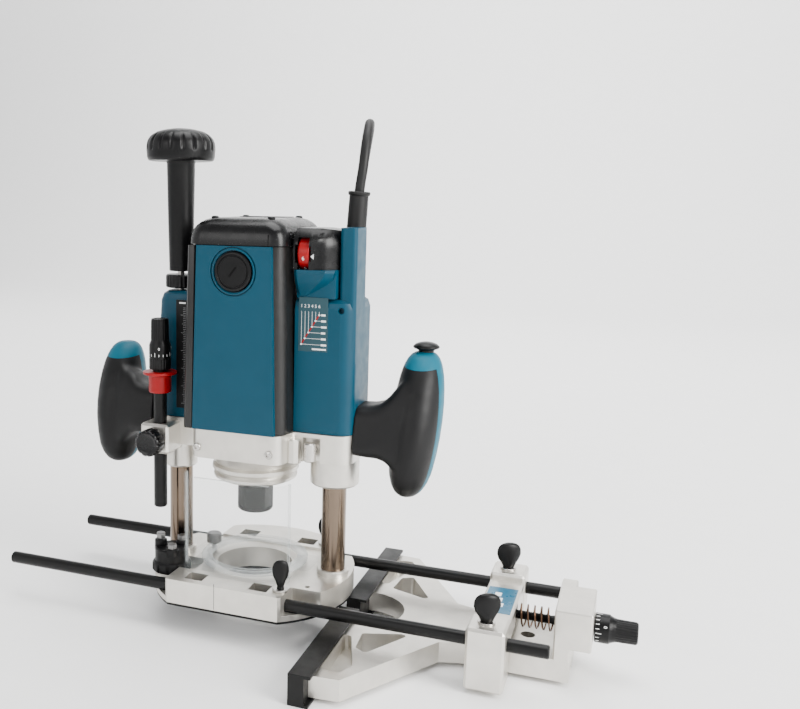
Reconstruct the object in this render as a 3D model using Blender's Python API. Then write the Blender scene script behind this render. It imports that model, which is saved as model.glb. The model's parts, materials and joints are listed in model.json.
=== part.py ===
"""Plunge router with a precision edge guide, as separate parts.

Lengths are in millimetres while modelling and become metres when a mesh is
made.  The modelling origin is the spindle axis on the underside of the sole:
+X runs along the guide rods to the edge guide, -Y is the side with the depth
stop, +Z is up.  The last step moves everything so that the ground plane under
the edge guide is Z = 0 and the object's middle is X = Y = 0.
"""
import math

import bmesh
import bpy
from mathutils import Matrix, Vector

MM = 0.001
GAP = 0.3
DETAIL = 0.62

# base
BASE_R = 85.0
BASE_FLAT_Y = -70.2
SOLE_T = 2.0
BASE_TOP = 20.0
BLOCK_TOP = 22.0
BASE_HOLE_R = 32.0
FLOOR_TOP = 6.5
ROD_CHANNEL_Y = 42.0
BLOCK_HALF_X = 50.0

# plunge columns
COLUMN_X = 70.0
COLUMN_R = 10.0
COLUMN_BORE_R = 7.0
COLUMN_BASE_Z = 8.0
COLUMN_TOP_Z = 168.0

# motor body
BRACKET_BOTTOM = 120.0
BODY_BOTTOM = 143.5
TOWER_TOP = 291.0
COVER_TOP = 312.0
TOWER_HALF_X = 41.0
TOWER_HALF_Y = 46.0
PLATE_Y = 50.0
BRUSH_Z = 271.0
SHELL_OUT_X = 90.0
SHELL_FRONT_L = -16.5
SHELL_FRONT_R = -25.0
SHELL_BACK = 32.0
SHELL_TOP_L = 250.0
SHELL_TOP_R = 250.0

# depth stop
POLE_X = -73.6
POLE_Y = -32.0
POLE_R = 5.6
TURRET_X = -63.3
TURRET_BOLT_R = 10.3
TURRET_R = 16.5
TURRET_Z = 14.5

# chip shield
SHIELD_X = 46.4
SHIELD_Y = -52.8
SHIELD_TOP = 104.0
SHIELD_SCREW = (-43.5, 11.0)

# height knob above the left column
KNOB_R = 28.8
KNOB_TOP = 384.0

# handles
GRIP_X = 134.0
GRIP_Y_TOP = 32.0
GRIP_Y_BOTTOM = -8.6
GRIP_Z_TOP = 206.0
GRIP_Z_BOTTOM = 93.0
CAP_Z = 193.0
LOCK_BUTTON = (136.0, 27.0)

# edge guide
ROD_Y = 56.0
ROD_Z = 10.8
ROD_R = 5.0
ROD_LEFT_FRONT = -208.0
ROD_LEFT_REAR = -201.0
ROD_RIGHT = 250.0
GUIDE_TOP = -5.0
GUIDE_BOTTOM = -22.0
FENCE_X = 81.5
FENCE_TOP = -1.0
FENCE_BOTTOM = -25.0
FENCE_HALF = 133.0
HOLDER_X = 192.5
HOLDER_W = 28.0
HOLDER_FRONT = -71.0
SCREW_Z = 11.0

# mains lead
CORD_D = 8.0
GUARD_FOOT = (74.0, 20.0, 250.5)
GUARD_HEAD = (79.0, 20.0, 333.0)
LEAD_ROUTE = [
    (73.6, 20, 243), (74, 20, 250.5), (75.5, 20, 275), (77.2, 20, 303), (79, 20, 333),
    (81.3, 21, 352), (81.5, 27, 371), (80, 39, 384.5), (76.5, 54, 389), (72, 69, 384),
    (66.5, 81, 371), (61, 89, 350), (55.5, 97, 320), (51, 102, 280), (47.5, 105, 230),
    (44.6, 106.4, 180), (42.2, 106.2, 130), (40.4, 104.6, 90), (39.1, 102.2, 60), (38, 99.8, 37),
    (36.4, 97.8, 12.6), (32.6, 94.1, 2.3), (26.7, 88.4, -5.9), (19.3, 81.2, -11.2), (11.15, 73.3, -13),
]
COIL_CENTRE = (-25.1, 110.6)
COIL_IN = 28.0
COIL_MID = 47.4
COIL_OUT = 65.0
PLUG_AT = (-57.7, 49.6)
PLUG_TURN = 180.0
PLUG_BOOT = 14.0
PLUG_H = 22.0

PAINT = {
    "aluminium": ((0.74, 0.73, 0.70), 0.42, 0.55),
    "steel": ((0.62, 0.60, 0.57), 0.25, 1.0),
    "dark_steel": ((0.12, 0.12, 0.13), 0.35, 0.9),
    "teal": ((0.0, 0.26, 0.36), 0.38, 0.0),
    "black": ((0.018, 0.018, 0.02), 0.45, 0.0),
    "rubber": ((0.02, 0.02, 0.02), 0.75, 0.0),
    "red": ((0.72, 0.03, 0.02), 0.4, 0.0),
    "clear": ((0.85, 0.88, 0.88), 0.05, 0.0),
    "copper": ((0.72, 0.36, 0.18), 0.35, 0.8),
    "brass": ((0.75, 0.58, 0.28), 0.3, 1.0),
}


# ---------------------------------------------------------------- tools

def collection(name, parent=None):
    made = bpy.data.collections.new(name)
    (parent or bpy.context.scene.collection).children.link(made)
    return made


def clear_scene():
    for thing in list(bpy.data.objects):
        bpy.data.objects.remove(thing, do_unlink=True)


def paint(obj, finish):
    colour, rough, metal = PAINT[finish]
    mat = bpy.data.materials.new(obj.name + "_" + finish)
    mat.use_nodes = True
    shader = mat.node_tree.nodes["Principled BSDF"]
    shader.inputs["Base Color"].default_value = (*colour, 1.0)
    shader.inputs["Roughness"].default_value = rough
    shader.inputs["Metallic"].default_value = metal
    mat.diffuse_color = (*colour, 1.0)
    obj.data.materials.append(mat)


def add(name, bm, finish=None):
    bmesh.ops.recalc_face_normals(bm, faces=bm.faces)
    if bm.calc_volume(signed=True) < 0:
        bmesh.ops.reverse_faces(bm, faces=bm.faces)
    bmesh.ops.scale(bm, vec=(MM, MM, MM), verts=bm.verts)
    mesh = bpy.data.meshes.new(name)
    bm.to_mesh(mesh)
    bm.free()
    obj = bpy.data.objects.new(name, mesh)
    if finish is None:
        TOOLS.objects.link(obj)
        obj.hide_render = True
        obj.display_type = "WIRE"
    else:
        PARTS.objects.link(obj)
        paint(obj, finish)
    return obj


def loft(rings):
    """Skin between equal rings of points, flat at both ends."""
    bm = bmesh.new()
    rows = [[bm.verts.new(p) for p in ring] for ring in rings]
    count = len(rows[0])
    for low, high in zip(rows, rows[1:]):
        for i in range(count):
            j = (i + 1) % count
            bm.faces.new((low[i], low[j], high[j], high[i]))
    bm.faces.new(rows[0])
    bm.faces.new(rows[-1])
    return bm


def turned(profile, sides=32):
    """Spin (radius, height) points about Z.

    A profile that starts and ends at radius 0 gives a solid; any other one is
    a closed outline and gives a ring.
    """
    bm = bmesh.new()
    sides = sides if sides < 13 else 2 * round(sides * DETAIL / 2)
    verts = [bm.verts.new((radius, 0, height)) for radius, height in profile]
    edges = [bm.edges.new(pair) for pair in zip(verts, verts[1:])]
    if profile[0][0] > 0:
        edges.append(bm.edges.new((verts[-1], verts[0])))
    turn = {"axis": (0, 0, 1), "cent": (0, 0, 0), "angle": 2 * math.pi}
    bmesh.ops.spin(bm, geom=verts + edges, steps=sides, use_merge=True, **turn)
    bmesh.ops.remove_doubles(bm, verts=bm.verts, dist=0.001)
    return bm


def aim(bm, place, axis=(0, 0, 1)):
    """Turn a mesh made along Z to point along axis, then move it to place."""
    turn = Vector((0, 0, 1)).rotation_difference(Vector(axis).normalized())
    bm.transform(Matrix.Translation(place) @ turn.to_matrix().to_4x4())
    return bm


def rod_mesh(radius, start, end, sides=24, bevel=0.0):
    start = Vector(start)
    end = Vector(end)
    length = (end - start).length
    if bevel:
        neck = radius - bevel
        profile = [(0, 0), (neck, 0), (radius, bevel), (radius, length - bevel), (neck, length), (0, length)]
    else:
        profile = [(0, 0), (radius, 0), (radius, length), (0, length)]
    return aim(turned(profile, sides), start, end - start)


def block_mesh(low, high, bevel=0.0, steps=1):
    bm = bmesh.new()
    bmesh.ops.create_cube(bm, size=1.0)
    low = Vector(low)
    high = Vector(high)
    size = high - low
    bmesh.ops.scale(bm, vec=size, verts=bm.verts)
    bmesh.ops.translate(bm, vec=(low + high) / 2, verts=bm.verts)
    if bevel:
        bmesh.ops.bevel(bm, geom=bm.edges[:], offset=bevel, segments=steps, profile=0.5, affect="EDGES")
    return bm


def extruded(outline, way):
    """A flat outline of 3-D points, extruded along a vector."""
    bm = bmesh.new()
    face = bm.faces.new([bm.verts.new(p) for p in outline])
    made = bmesh.ops.extrude_face_region(bm, geom=[face])
    top = [part for part in made["geom"] if isinstance(part, bmesh.types.BMVert)]
    bmesh.ops.translate(bm, vec=way, verts=top)
    return bm


def slab_mesh(outline, low, high):
    """Extrude an outline of (x, y) points from z = low to z = high."""
    return extruded([(x, y, low) for x, y in outline], (0, 0, high - low))


def side_slab_mesh(outline, low, high):
    """Extrude an outline of (x, z) points from y = low to y = high."""
    return extruded([(x, low, z) for x, z in outline], (0, high - low, 0))


def end_slab_mesh(outline, low, high):
    """Extrude an outline of (y, z) points from x = low to x = high."""
    return extruded([(low, y, z) for y, z in outline], (high - low, 0, 0))


def rounded(points, radius, steps=4):
    """Round each corner of a closed outline."""
    out = []
    total = len(points)
    for i, point in enumerate(points):
        here = Vector(point)
        before = Vector(points[i - 1]) - here
        after = Vector(points[(i + 1) % total]) - here
        half = before.angle(after) / 2
        r = radius[i] if isinstance(radius, (list, tuple)) else radius
        if r <= 0:
            out.append(tuple(here))
            continue
        cut = r / math.tan(half)
        start = here + before.normalized() * cut
        end = here + after.normalized() * cut
        centre = here + (before.normalized() + after.normalized()).normalized() * (r / math.sin(half))
        a0 = math.atan2(start.y - centre.y, start.x - centre.x)
        a1 = math.atan2(end.y - centre.y, end.x - centre.x)
        sweep = (a1 - a0 + math.pi) % (2 * math.pi) - math.pi
        for k in range(steps + 1):
            a = a0 + sweep * k / steps
            out.append((centre.x + r * math.cos(a), centre.y + r * math.sin(a)))
    return out


def rectangle(x0, x1, y0, y1, radius=0.0, steps=4):
    corners = [(x0, y0), (x1, y0), (x1, y1), (x0, y1)]
    return rounded(corners, radius, steps) if radius else corners


def arc(cx, cy, radius, start, end, count):
    pts = []
    for i in range(count + 1):
        a = math.radians(start + (end - start) * i / count)
        pts.append((cx + radius * math.cos(a), cy + radius * math.sin(a)))
    return pts


def boolean(target, tool, operation):
    mod = target.modifiers.new(tool.name, "BOOLEAN")
    mod.operation = operation
    mod.solver = "EXACT"
    mod.object = tool


def cut(target, bm, name="cut"):
    boolean(target, add(target.name + "_" + name, bm), "DIFFERENCE")


def fuse(target, bm, name="join"):
    boolean(target, add(target.name + "_" + name, bm), "UNION")


def keep(target, bm, name="keep"):
    boolean(target, add(target.name + "_" + name, bm), "INTERSECT")


def pivot(obj, point):
    """Put an object's origin on its joint without moving the part."""
    spot = Vector(point) * MM
    obj.data.transform(Matrix.Translation(-spot))
    obj.location = spot


def wire(name, points, diameter, finish, resolution=1):
    """A round wire or lead along points, closed at both ends."""
    curve = bpy.data.curves.new(name, "CURVE")
    curve.dimensions = "3D"
    curve.bevel_depth = diameter / 2 * MM
    curve.bevel_resolution = resolution
    curve.use_fill_caps = True
    line = curve.splines.new("POLY")
    line.points.add(len(points) - 1)
    for spot, point in zip(line.points, points):
        spot.co = (point[0] * MM, point[1] * MM, point[2] * MM, 1.0)
    obj = bpy.data.objects.new(name, curve)
    PARTS.objects.link(obj)
    paint(obj, finish)
    return obj


def helix(centre, radius, low, high, turns, per_turn):
    """Points of a coil spring about a vertical axis, with closed end turns."""
    pts = []
    total = turns * per_turn
    for i in range(total + 1):
        a = 2 * math.pi * i / per_turn
        share = min(max((i - per_turn) / (total - 2 * per_turn), 0.0), 1.0)
        squeeze = 1.6 * (min(i, per_turn) + max(i - total + per_turn, 0)) / per_turn
        z = low + squeeze + (high - low - 3.2) * share
        pts.append((centre[0] + radius * math.cos(a), centre[1] + radius * math.sin(a), z))
    return pts


def fluted(radius, depth, lobes, low, high, dome=0.0, per_lobe=6):
    """A knob with flutes around its edge and a slightly domed top."""
    rings = []
    levels = [(low, 0.95, 0.4), (low + 2.0, 1.0, 1.0), (high - 9.0, 1.0, 1.0), (high - 4.0, 0.94, 0.8)]
    levels.append((high - 0.5, 0.8, 0.2))
    if dome:
        levels.append((high + dome * 0.6, 0.5, 0.0))
        levels.append((high + dome, 0.12, 0.0))
    count = lobes * per_lobe
    for z, scale, flute in levels:
        ring = []
        for i in range(count):
            a = 2 * math.pi * i / count
            dip = depth * flute * max(0.0, math.cos(lobes * a)) ** 2
            r = radius * scale - dip
            ring.append((r * math.cos(a), r * math.sin(a), z))
        rings.append(ring)
    return loft(rings)


# ---------------------------------------------------------------- base

def base_outline(radius, flat):
    """The round base with its straight front edge, anticlockwise."""
    lean = math.degrees(math.asin(flat / radius))
    return arc(0, 0, radius, lean, 180 - lean, 56)


def make_base():
    slab = slab_mesh(base_outline(BASE_R, BASE_FLAT_Y), SOLE_T + 0.1, BLOCK_TOP)
    base = add("base_casting", slab, "aluminium")
    far = 100.0
    for side in (-1, 1):
        x0, x1 = sorted((side * BLOCK_HALF_X, side * far))
        cut(base, block_mesh((x0, -far, FLOOR_TOP), (x1, -ROD_CHANNEL_Y, 40)), "front_corner")
        cut(base, block_mesh((x0, ROD_CHANNEL_Y, FLOOR_TOP), (x1, far, 40)), "rear_corner")
    edge = ROD_CHANNEL_Y + 2.0
    cut(base, block_mesh((-far, -edge, BASE_TOP), (far, edge, 41)), "step")
    for side in (-1, 1):
        bore = rod_mesh(ROD_R + 0.2, (-far, side * ROD_Y, ROD_Z), (far, side * ROD_Y, ROD_Z), 24)
        cut(base, bore, "rod_bore")
        x = side * COLUMN_X
        cut(base, rod_mesh(COLUMN_R + 1.0, (x, 0, COLUMN_BASE_Z - 0.2), (x, 0, 42), 24), "column_socket")
    cut(base, block_mesh((-far, -43, TURRET_Z - 0.5), (-38, -13.8, 43)), "turret_seat")
    cut(base, rod_mesh(BASE_HOLE_R, (0, 0, -5), (0, 0, 44), 48), "cutter_hole")
    for x in (-28.0, 28.0):
        for y in (-56.5, 56.5):
            cut(base, block_mesh((x - 8, y - 7, ROD_Z), (x + 8, y + 7, 40)), "window")
    for y in (-ROD_Y, ROD_Y):
        cut(base, rod_mesh(3.1, (46, y, ROD_Z), (46, y, 40), 16), "clamp_hole")
    cut(base, rod_mesh(3.1, (TURRET_X, POLE_Y, 8), (TURRET_X, POLE_Y, 30), 16), "turret_hole")
    x, y = SHIELD_SCREW
    cut(base, rod_mesh(2.4, (x, y, 15), (x, y, 30), 12), "shield_hole")
    cut(base, rod_mesh(2.2, (60.5, -36.0, 12), (60.5, -36.0, 30), 12), "tapped_hole")
    for side in (-1, 1):
        inner = COLUMN_R + 0.3
        sleeve = [(inner, 9.0), (13.2, 9.0), (13.2, 24.2), (12.4, 25.0), (inner, 25.0)]
        fuse(base, aim(turned(sleeve, 32), (side * COLUMN_X, 0, 0)), "collar")


def make_sole():
    sole = add("base_sole", slab_mesh(base_outline(BASE_R - 0.3, BASE_FLAT_Y + 0.3), 0, SOLE_T), "black")
    cut(sole, rod_mesh(BASE_HOLE_R - 1, (0, 0, -5), (0, 0, 10), 48), "cutter_hole")


def make_columns():
    for name, side in (("left_column", -1), ("right_column", 1)):
        profile = [
            (COLUMN_R - 0.8, COLUMN_BASE_Z), (COLUMN_R, COLUMN_BASE_Z + 0.8),
            (COLUMN_R, COLUMN_TOP_Z - 1.2), (COLUMN_R - 1.2, COLUMN_TOP_Z),
            (COLUMN_BORE_R, COLUMN_TOP_Z), (COLUMN_BORE_R, 16.0), (4.2, 16.0), (4.2, COLUMN_BASE_Z),
        ]
        add(name, aim(turned(profile, 32), (side * COLUMN_X, 0, 0)), "steel")
    for name, side in (("left_column_spring", -1), ("right_column_spring", 1)):
        pts = helix((side * COLUMN_X, 0), 5.6, 17.2, 239.0, 12, 8)
        wire(name, pts, 1.5, "dark_steel", 0)
    stud = rod_mesh(3.0, (-COLUMN_X, 0, COLUMN_BASE_Z + 0.2), (-COLUMN_X, 0, 372), 16, 0.5)
    add("threaded_rod", stud, "steel")


def make_turret():
    profile = [
        (0, TURRET_Z), (TURRET_R - 0.8, TURRET_Z), (TURRET_R, TURRET_Z + 0.8), (TURRET_R, TURRET_Z + 6.5),
        (TURRET_R - 1.2, TURRET_Z + 8), (14.2, TURRET_Z + 8.5), (14.2, TURRET_Z + 19), (13.2, TURRET_Z + 20),
        (0, TURRET_Z + 20),
    ]
    turret = add("stop_turret", aim(turned(profile, 36), (TURRET_X, POLE_Y, 0)), "black")
    for i in range(12):
        a = math.radians(30 * i + 15)
        spot = (TURRET_X + (TURRET_R + 1.0) * math.cos(a), POLE_Y + (TURRET_R + 1.0) * math.sin(a))
        cut(turret, rod_mesh(2.0, (*spot, TURRET_Z - 1), (*spot, TURRET_Z + 8.2), 10), "grip")
    for index, (angle, top) in enumerate(((180, 45), (60, 42), (-60, 40)), 1):
        a = math.radians(angle)
        x = TURRET_X + TURRET_BOLT_R * math.cos(a)
        y = POLE_Y + TURRET_BOLT_R * math.sin(a)
        cut(turret, rod_mesh(2.6, (x, y, TURRET_Z + 11), (x, y, 60), 12), "bolt_hole")
        shank = [(0, TURRET_Z + 12), (2.4, TURRET_Z + 12), (2.4, top - 4), (4.0, top - 4), (4.0, top - 0.6)]
        shank += [(3.3, top), (0, top)]
        bolt = add("stop_bolt_%d" % index, aim(turned(shank, 6), (x, y, 0)), "dark_steel")
        pivot(bolt, (x, y, TURRET_Z))
    fuse(turret, rod_mesh(2.8, (TURRET_X, POLE_Y, 8.6), (TURRET_X, POLE_Y, TURRET_Z + 1), 16), "pin")
    pivot(turret, (TURRET_X, POLE_Y, TURRET_Z))


def wing_knob_mesh(radius, low, high, lobes=3):
    """A clamp knob with soft lobes, narrower towards its foot."""
    rings = []
    for z, scale in ((0.0, 0.5), (0.12, 0.62), (0.45, 0.95), (0.75, 1.0), (0.93, 0.88), (1.0, 0.6)):
        ring = []
        for i in range(24):
            a = 2 * math.pi * i / 24
            r = radius * scale * (1 - 0.12 * (1 + math.cos(lobes * a)) * min(1.0, z * 3))
            ring.append((r * math.cos(a), r * math.sin(a), low + (high - low) * z))
        rings.append(ring)
    return loft(rings)


def make_rod_clamp(name, x, y, foot, head_low, head_high, radius):
    knob = add(name, aim(wing_knob_mesh(radius, head_low, head_high), (x, y, 0)), "black")
    fuse(knob, rod_mesh(2.8, (x, y, foot), (x, y, head_low + 3), 12), "shank")
    pivot(knob, (x, y, foot))


def make_height_knob():
    low = KNOB_TOP - 26.0
    head = fluted(KNOB_R, 1.8, 18, low, KNOB_TOP - 5.0, 5.0, 3)
    knob = add("height_knob", aim(head, (-COLUMN_X, 0, 0)), "black")
    tube = [(0, 266), (11.6, 266), (12.2, 267), (13.3, low + 6), (0, low + 6)]
    fuse(knob, aim(turned(tube, 32), (-COLUMN_X, 0, 0)), "tube")
    cut(knob, rod_mesh(3.3, (-COLUMN_X, 0, 200), (-COLUMN_X, 0, 374), 16), "bore")
    pivot(knob, (-COLUMN_X, 0, 266))
    nut = [(3.3, 252.0), (12.2, 252.0), (13.0, 253.0), (13.0, 262.0), (12.2, 263.0), (3.3, 263.0)]
    ring = add("upper_stop_nut", aim(turned(nut, 32), (-COLUMN_X, 0, 0)), "black")
    pivot(ring, (-COLUMN_X, 0, 252))


def make_deflector():
    """The clear chip shield: a bent front panel on a flat foot."""
    t = 2.0
    wide = SHIELD_X
    outer = rounded([(-wide, -38), (-wide, SHIELD_Y), (wide, SHIELD_Y), (wide, -38)], [0, 14, 14, 0])
    wide = SHIELD_X - t
    inner = [(wide, -38), (wide, SHIELD_Y + t), (-wide, SHIELD_Y + t), (-wide, -38)]
    inner = rounded(inner, [0, 12, 12, 0])
    panel = add("chip_deflector", slab_mesh(outer + inner, BLOCK_TOP + 1.4, SHIELD_TOP), "clear")
    foot = [(-SHIELD_X, SHIELD_Y), (SHIELD_X, SHIELD_Y), (SHIELD_X, -38), (44, -34), (44, -12), (53, -12)]
    foot += [(53, 18), (-53, 18), (-53, -12), (-44, -12), (-44, -34), (-SHIELD_X, -38)]
    foot = rounded(foot, [14, 14, 0, 0, 0, 5, 5, 5, 5, 0, 0, 0])
    fuse(panel, slab_mesh(foot, BLOCK_TOP + 0.4, BLOCK_TOP + 3.4), "foot")
    cut(panel, rod_mesh(36.5, (0, 0, 0), (0, 0, 60), 44), "cutter_room")
    cut(panel, block_mesh((-34, 10, 0), (34, 40, 60)), "open_back")
    x, y = SHIELD_SCREW
    cut(panel, rod_mesh(2.4, (x, y, 10), (x, y, 40), 12), "screw_hole")
    profile = [(0, 16.5), (2.1, 16.5), (2.1, 26.0), (5.8, 26.0), (6.6, 26.8), (6.6, 34.0)]
    profile += [(5.6, 35.0), (0, 35.0)]
    screw = add("deflector_screw", aim(turned(profile, 20), (x, y, 0)), "dark_steel")
    pivot(screw, (x, y, 26))


# ---------------------------------------------------------------- body

def tower_outline(half_x, half_y, radius=12.0):
    return rectangle(-half_x, half_x, -half_y, half_y, radius, 4)


def make_bracket():
    body = rounded(
        [(-36, -49), (38, -49), (44, -27), (90, -27), (90, 30), (44, 33), (36, 49), (-36, 49),
         (-44, 33), (-90, 30), (-90, -18), (-44, -18)],
        [9, 9, 3, 12, 12, 3, 9, 9, 3, 12, 12, 3], 3)
    bracket = add("bearing_bracket", slab_mesh(body, BRACKET_BOTTOM, BODY_BOTTOM - 0.3), "aluminium")
    chin = [(0, 92.5), (16, 92.5), (30, 94.5), (35, 97.0), (35.5, 99.5), (34, 101.5), (36.5, 104.0)]
    chin += [(36.5, 107.0), (34, 109.0), (41, 121.0), (0, 121.0)]
    fuse(bracket, turned(chin, 40), "nose")
    fuse(bracket, rod_mesh(20.0, (COLUMN_X, 0, 97.5), (COLUMN_X, 0, 125), 36, 1.5), "right_boss")
    fuse(bracket, rod_mesh(14.0, (-COLUMN_X, 0, 97.5), (-COLUMN_X, 0, 125), 36, 1.5), "left_boss")
    fuse(bracket, block_mesh((-88, -41, 116.0), (-62, -12, 141.0), 2.0), "stop_arm")
    fuse(bracket, rod_mesh(6.0, (45, -30, 119.0), (45, -30, 139), 16, 1.0), "screw_boss")
    for side in (-1, 1):
        hole = rod_mesh(COLUMN_R + 0.3, (side * COLUMN_X, 0, 80), (side * COLUMN_X, 0, 160), 32)
        cut(bracket, hole, "column_bore")
    spindle = [(0, 80), (13.0, 80), (13.0, 112), (17.5, 112), (17.5, 160), (0, 160)]
    cut(bracket, turned(spindle, 32), "spindle_bore")
    cut(bracket, turned([(0, 130), (37.0, 130), (37.0, 160), (0, 160)], 40), "fan_chamber")
    cut(bracket, rod_mesh(POLE_R + 0.25, (POLE_X, POLE_Y, 100), (POLE_X, POLE_Y, 160), 20), "pole_bore")
    cut(bracket, rod_mesh(3.1, (POLE_X, -60, 127.8), (POLE_X, POLE_Y, 127.8), 12), "nut_bore")
    cut(bracket, block_mesh((51.5, -40, 119), (66, -20.5, 140)), "lock_pocket")
    cut(bracket, rod_mesh(3.1, (58.7, -30, 130), (58.7, -12, 130), 12), "lock_bore")
    cut(bracket, rod_mesh(3.2, (-84.0, 25, 132), (-84.0, 45, 132), 12), "lever_bore")


def make_tower():
    low = tower_outline(TOWER_HALF_X + 1.0, TOWER_HALF_Y, 11.0)
    high = tower_outline(TOWER_HALF_X - 2.0, TOWER_HALF_Y, 11.0)
    rings = [[(x, y, BODY_BOTTOM) for x, y in low], [(x, y, TOWER_TOP) for x, y in high]]
    tower = add("motor_housing", loft(rings), "black")
    bore = [(0, 100), (38.0, 100), (38.0, 232), (30.0, 240), (30.0, 283), (12.5, 283), (12.5, 320), (0, 320)]
    cut(tower, turned(bore, 40), "motor_bore")
    for side in (-1, 1):
        cut(tower, rod_mesh(10.2, (0, side * 20, BRUSH_Z), (0, side * 60, BRUSH_Z), 20), "brush_hole")


def make_covers():
    """Front and rear plates with a round recess for each brush cap."""
    for name, side in (("front_cover", -1), ("rear_cover", 1)):
        outer = side * PLATE_Y
        inner = side * (TOWER_HALF_Y + 0.2)
        y0, y1 = sorted((outer, inner))
        low = BODY_BOTTOM
        outline = [(-35.2, low), (35.2, low), (31.5, TOWER_TOP - 0.3), (-31.5, TOWER_TOP - 0.3)]
        plate = add(name, side_slab_mesh(outline, y0, y1), "teal")
        cut(plate, rod_mesh(19.4, (0, outer - side * 1.6, BRUSH_Z), (0, side * 80, BRUSH_Z), 32), "recess")
        cut(plate, rod_mesh(16.2, (0, side * 30, BRUSH_Z), (0, side * 80, BRUSH_Z), 32), "brush_hole")
        profile = [(0, 0), (9.8, 0), (9.8, 11.0), (15.7, 11.0), (15.7, 15.0), (14.6, 16.0), (0, 16.0)]
        disc = aim(turned(profile, 32), (0, side * 35.3, BRUSH_Z), (0, side, 0))
        cap = add("brush_cap_" + name.split("_")[0], disc, "black")
        face = side * 50.5
        cut(cap, block_mesh((-9, face - 1.0, BRUSH_Z - 1.1), (9, face + 1.0, BRUSH_Z + 1.1)), "slot")


def make_top_cover():
    rings = []
    for z, inset, radius in ((TOWER_TOP + 0.3, 0, 12), (305, 1.0, 12), (309.5, 3.5, 11), (COVER_TOP, 9, 9)):
        outline = tower_outline(TOWER_HALF_X - inset, PLATE_Y - 0.5 - inset, radius)
        rings.append([(x, y, z) for x, y in outline])
    cover = add("top_cover", loft(rings), "black")
    cut(cover, rod_mesh(13.0, (0, 0, 280), (0, 0, 302), 32), "bearing_seat")


def shell_mesh(x0, x1, y0, y1, low, high, taper, radius=11.0):
    rings = []
    for z, inset in ((low, 0.0), (low + 22.0, 0.0), (high - 8.0, 0.0), (high - 2.5, 1.6), (high, 5.0)):
        lean = taper * max(0.0, (z - low - 22.0) / (high - low - 22.0))
        outline = rectangle(x0 + inset + lean, x1 - inset, y0 + inset, y1 - inset, radius - inset * 0.5, 4)
        rings.append([(x, y, z) for x, y in outline])
    return loft(rings)


def make_side_shells():
    """Casings that hang beside the motor and hide the columns."""
    gap = TOWER_HALF_X + 1.3
    skin = shell_mesh(-SHELL_OUT_X, -30, SHELL_FRONT_L, SHELL_BACK, BODY_BOTTOM, SHELL_TOP_L, 6.0)
    left = add("left_shell", skin, "teal")
    skin = shell_mesh(30, SHELL_OUT_X, SHELL_FRONT_R, SHELL_BACK, BODY_BOTTOM, SHELL_TOP_R, 0.0)
    right = add("right_shell", skin, "teal")
    fuse(right, slab_mesh(rectangle(76.2, 90, -20, 9.5, 3.5, 3), 200, 305.5), "rib")
    for shell, side in ((left, -1), (right, 1)):
        cut(shell, block_mesh((-gap, -80, 100), (gap, 80, 330)), "motor_side")
        x = side * COLUMN_X
        cut(shell, rod_mesh(COLUMN_R + 0.6, (x, 0, 100), (x, 0, 240), 32), "column_bore")
    cut(left, rod_mesh(3.4, (-COLUMN_X, 0, 200), (-COLUMN_X, 0, 300), 16), "rod_hole")
    cut(right, rod_mesh(2.5, (80, -40, 242), (80, -20, 242), 12), "screw_hole")
    cut(right, rod_mesh(5.5, GUARD_FOOT, (GUARD_FOOT[0], GUARD_FOOT[1], 236), 16), "lead_hole")
    plate = block_mesh((-66.0, SHELL_FRONT_L - 1.0, 151.5), (-56.0, SHELL_FRONT_L - 0.1, 243.0))
    add("depth_scale", plate, "black")


def make_speed_control():
    outline = [(43.0, -33), (56.5, -34), (64.0, -29.5), (75.8, -24), (75.8, 9.5), (43.0, 9.5)]
    housing = add("dial_housing", slab_mesh(outline, SHELL_TOP_R + 0.3, 305), "black")
    cut(housing, block_mesh((46.5, -50, 272), (56.0, -20, 298)), "window")
    cut(housing, rod_mesh(13.6, (44.5, -21.5, 285.5), (57.5, -21.5, 285.5), 28), "dial_room")
    wheel = turned([(0, 0), (12.0, 0), (12.6, 0.6), (12.6, 8.2), (12.0, 8.8), (0, 8.8)], 30)
    dial = add("speed_dial", aim(wheel, (46.9, -21.5, 285.5), (1, 0, 0)), "red")
    pivot(dial, (51.2, -21.5, 285.5))


def make_drive():
    shaft = [
        (0, 82.0), (7.8, 82.0), (7.8, 112.5), (17.2, 112.5), (17.2, 126.0), (9.5, 126.0), (9.5, 158),
        (24.5, 160), (24.5, 222), (10, 226), (10, 252), (15.5, 254), (15.5, 281), (6.0, 284),
        (6.0, 288), (12.2, 288), (12.2, 300), (0, 300),
    ]
    armature = add("armature", turned(shaft, 32), "copper")
    cut(armature, rod_mesh(5.0, (0, 0, 70), (0, 0, 108), 20), "collet_taper")
    pivot(armature, (0, 0, 82))
    fan = [(9.8, 134.5), (36.0, 134.5), (36.0, 137.0), (30.0, 150.0), (9.8, 150.0)]
    add("cooling_fan", turned(fan, 32), "black")
    field = [(26.0, 166), (37.0, 166), (37.0, 216), (26.0, 216)]
    add("field_coil", turned(field, 36), "copper")
    cone = [(6.4, 66.8), (8.0, 66.8), (8.0, 70.0), (7.4, 80.0), (6.4, 80.0)]
    add("collet_cone", turned(cone, 24), "steel")
    nut = [(8.3, 66.8), (13.6, 66.8), (15.0, 68.2), (15.0, 91.0), (14.0, 91.8), (8.3, 91.8)]
    collet = add("collet_nut", turned(nut, 32), "dark_steel")
    for i in range(6):
        flat = block_mesh((-12, 13.6, 70), (12, 20, 88))
        flat.transform(Matrix.Rotation(math.radians(60 * i + 20), 4, "Z"))
        cut(collet, flat, "flat")
    pivot(collet, (0, 0, 66.8))


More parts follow.
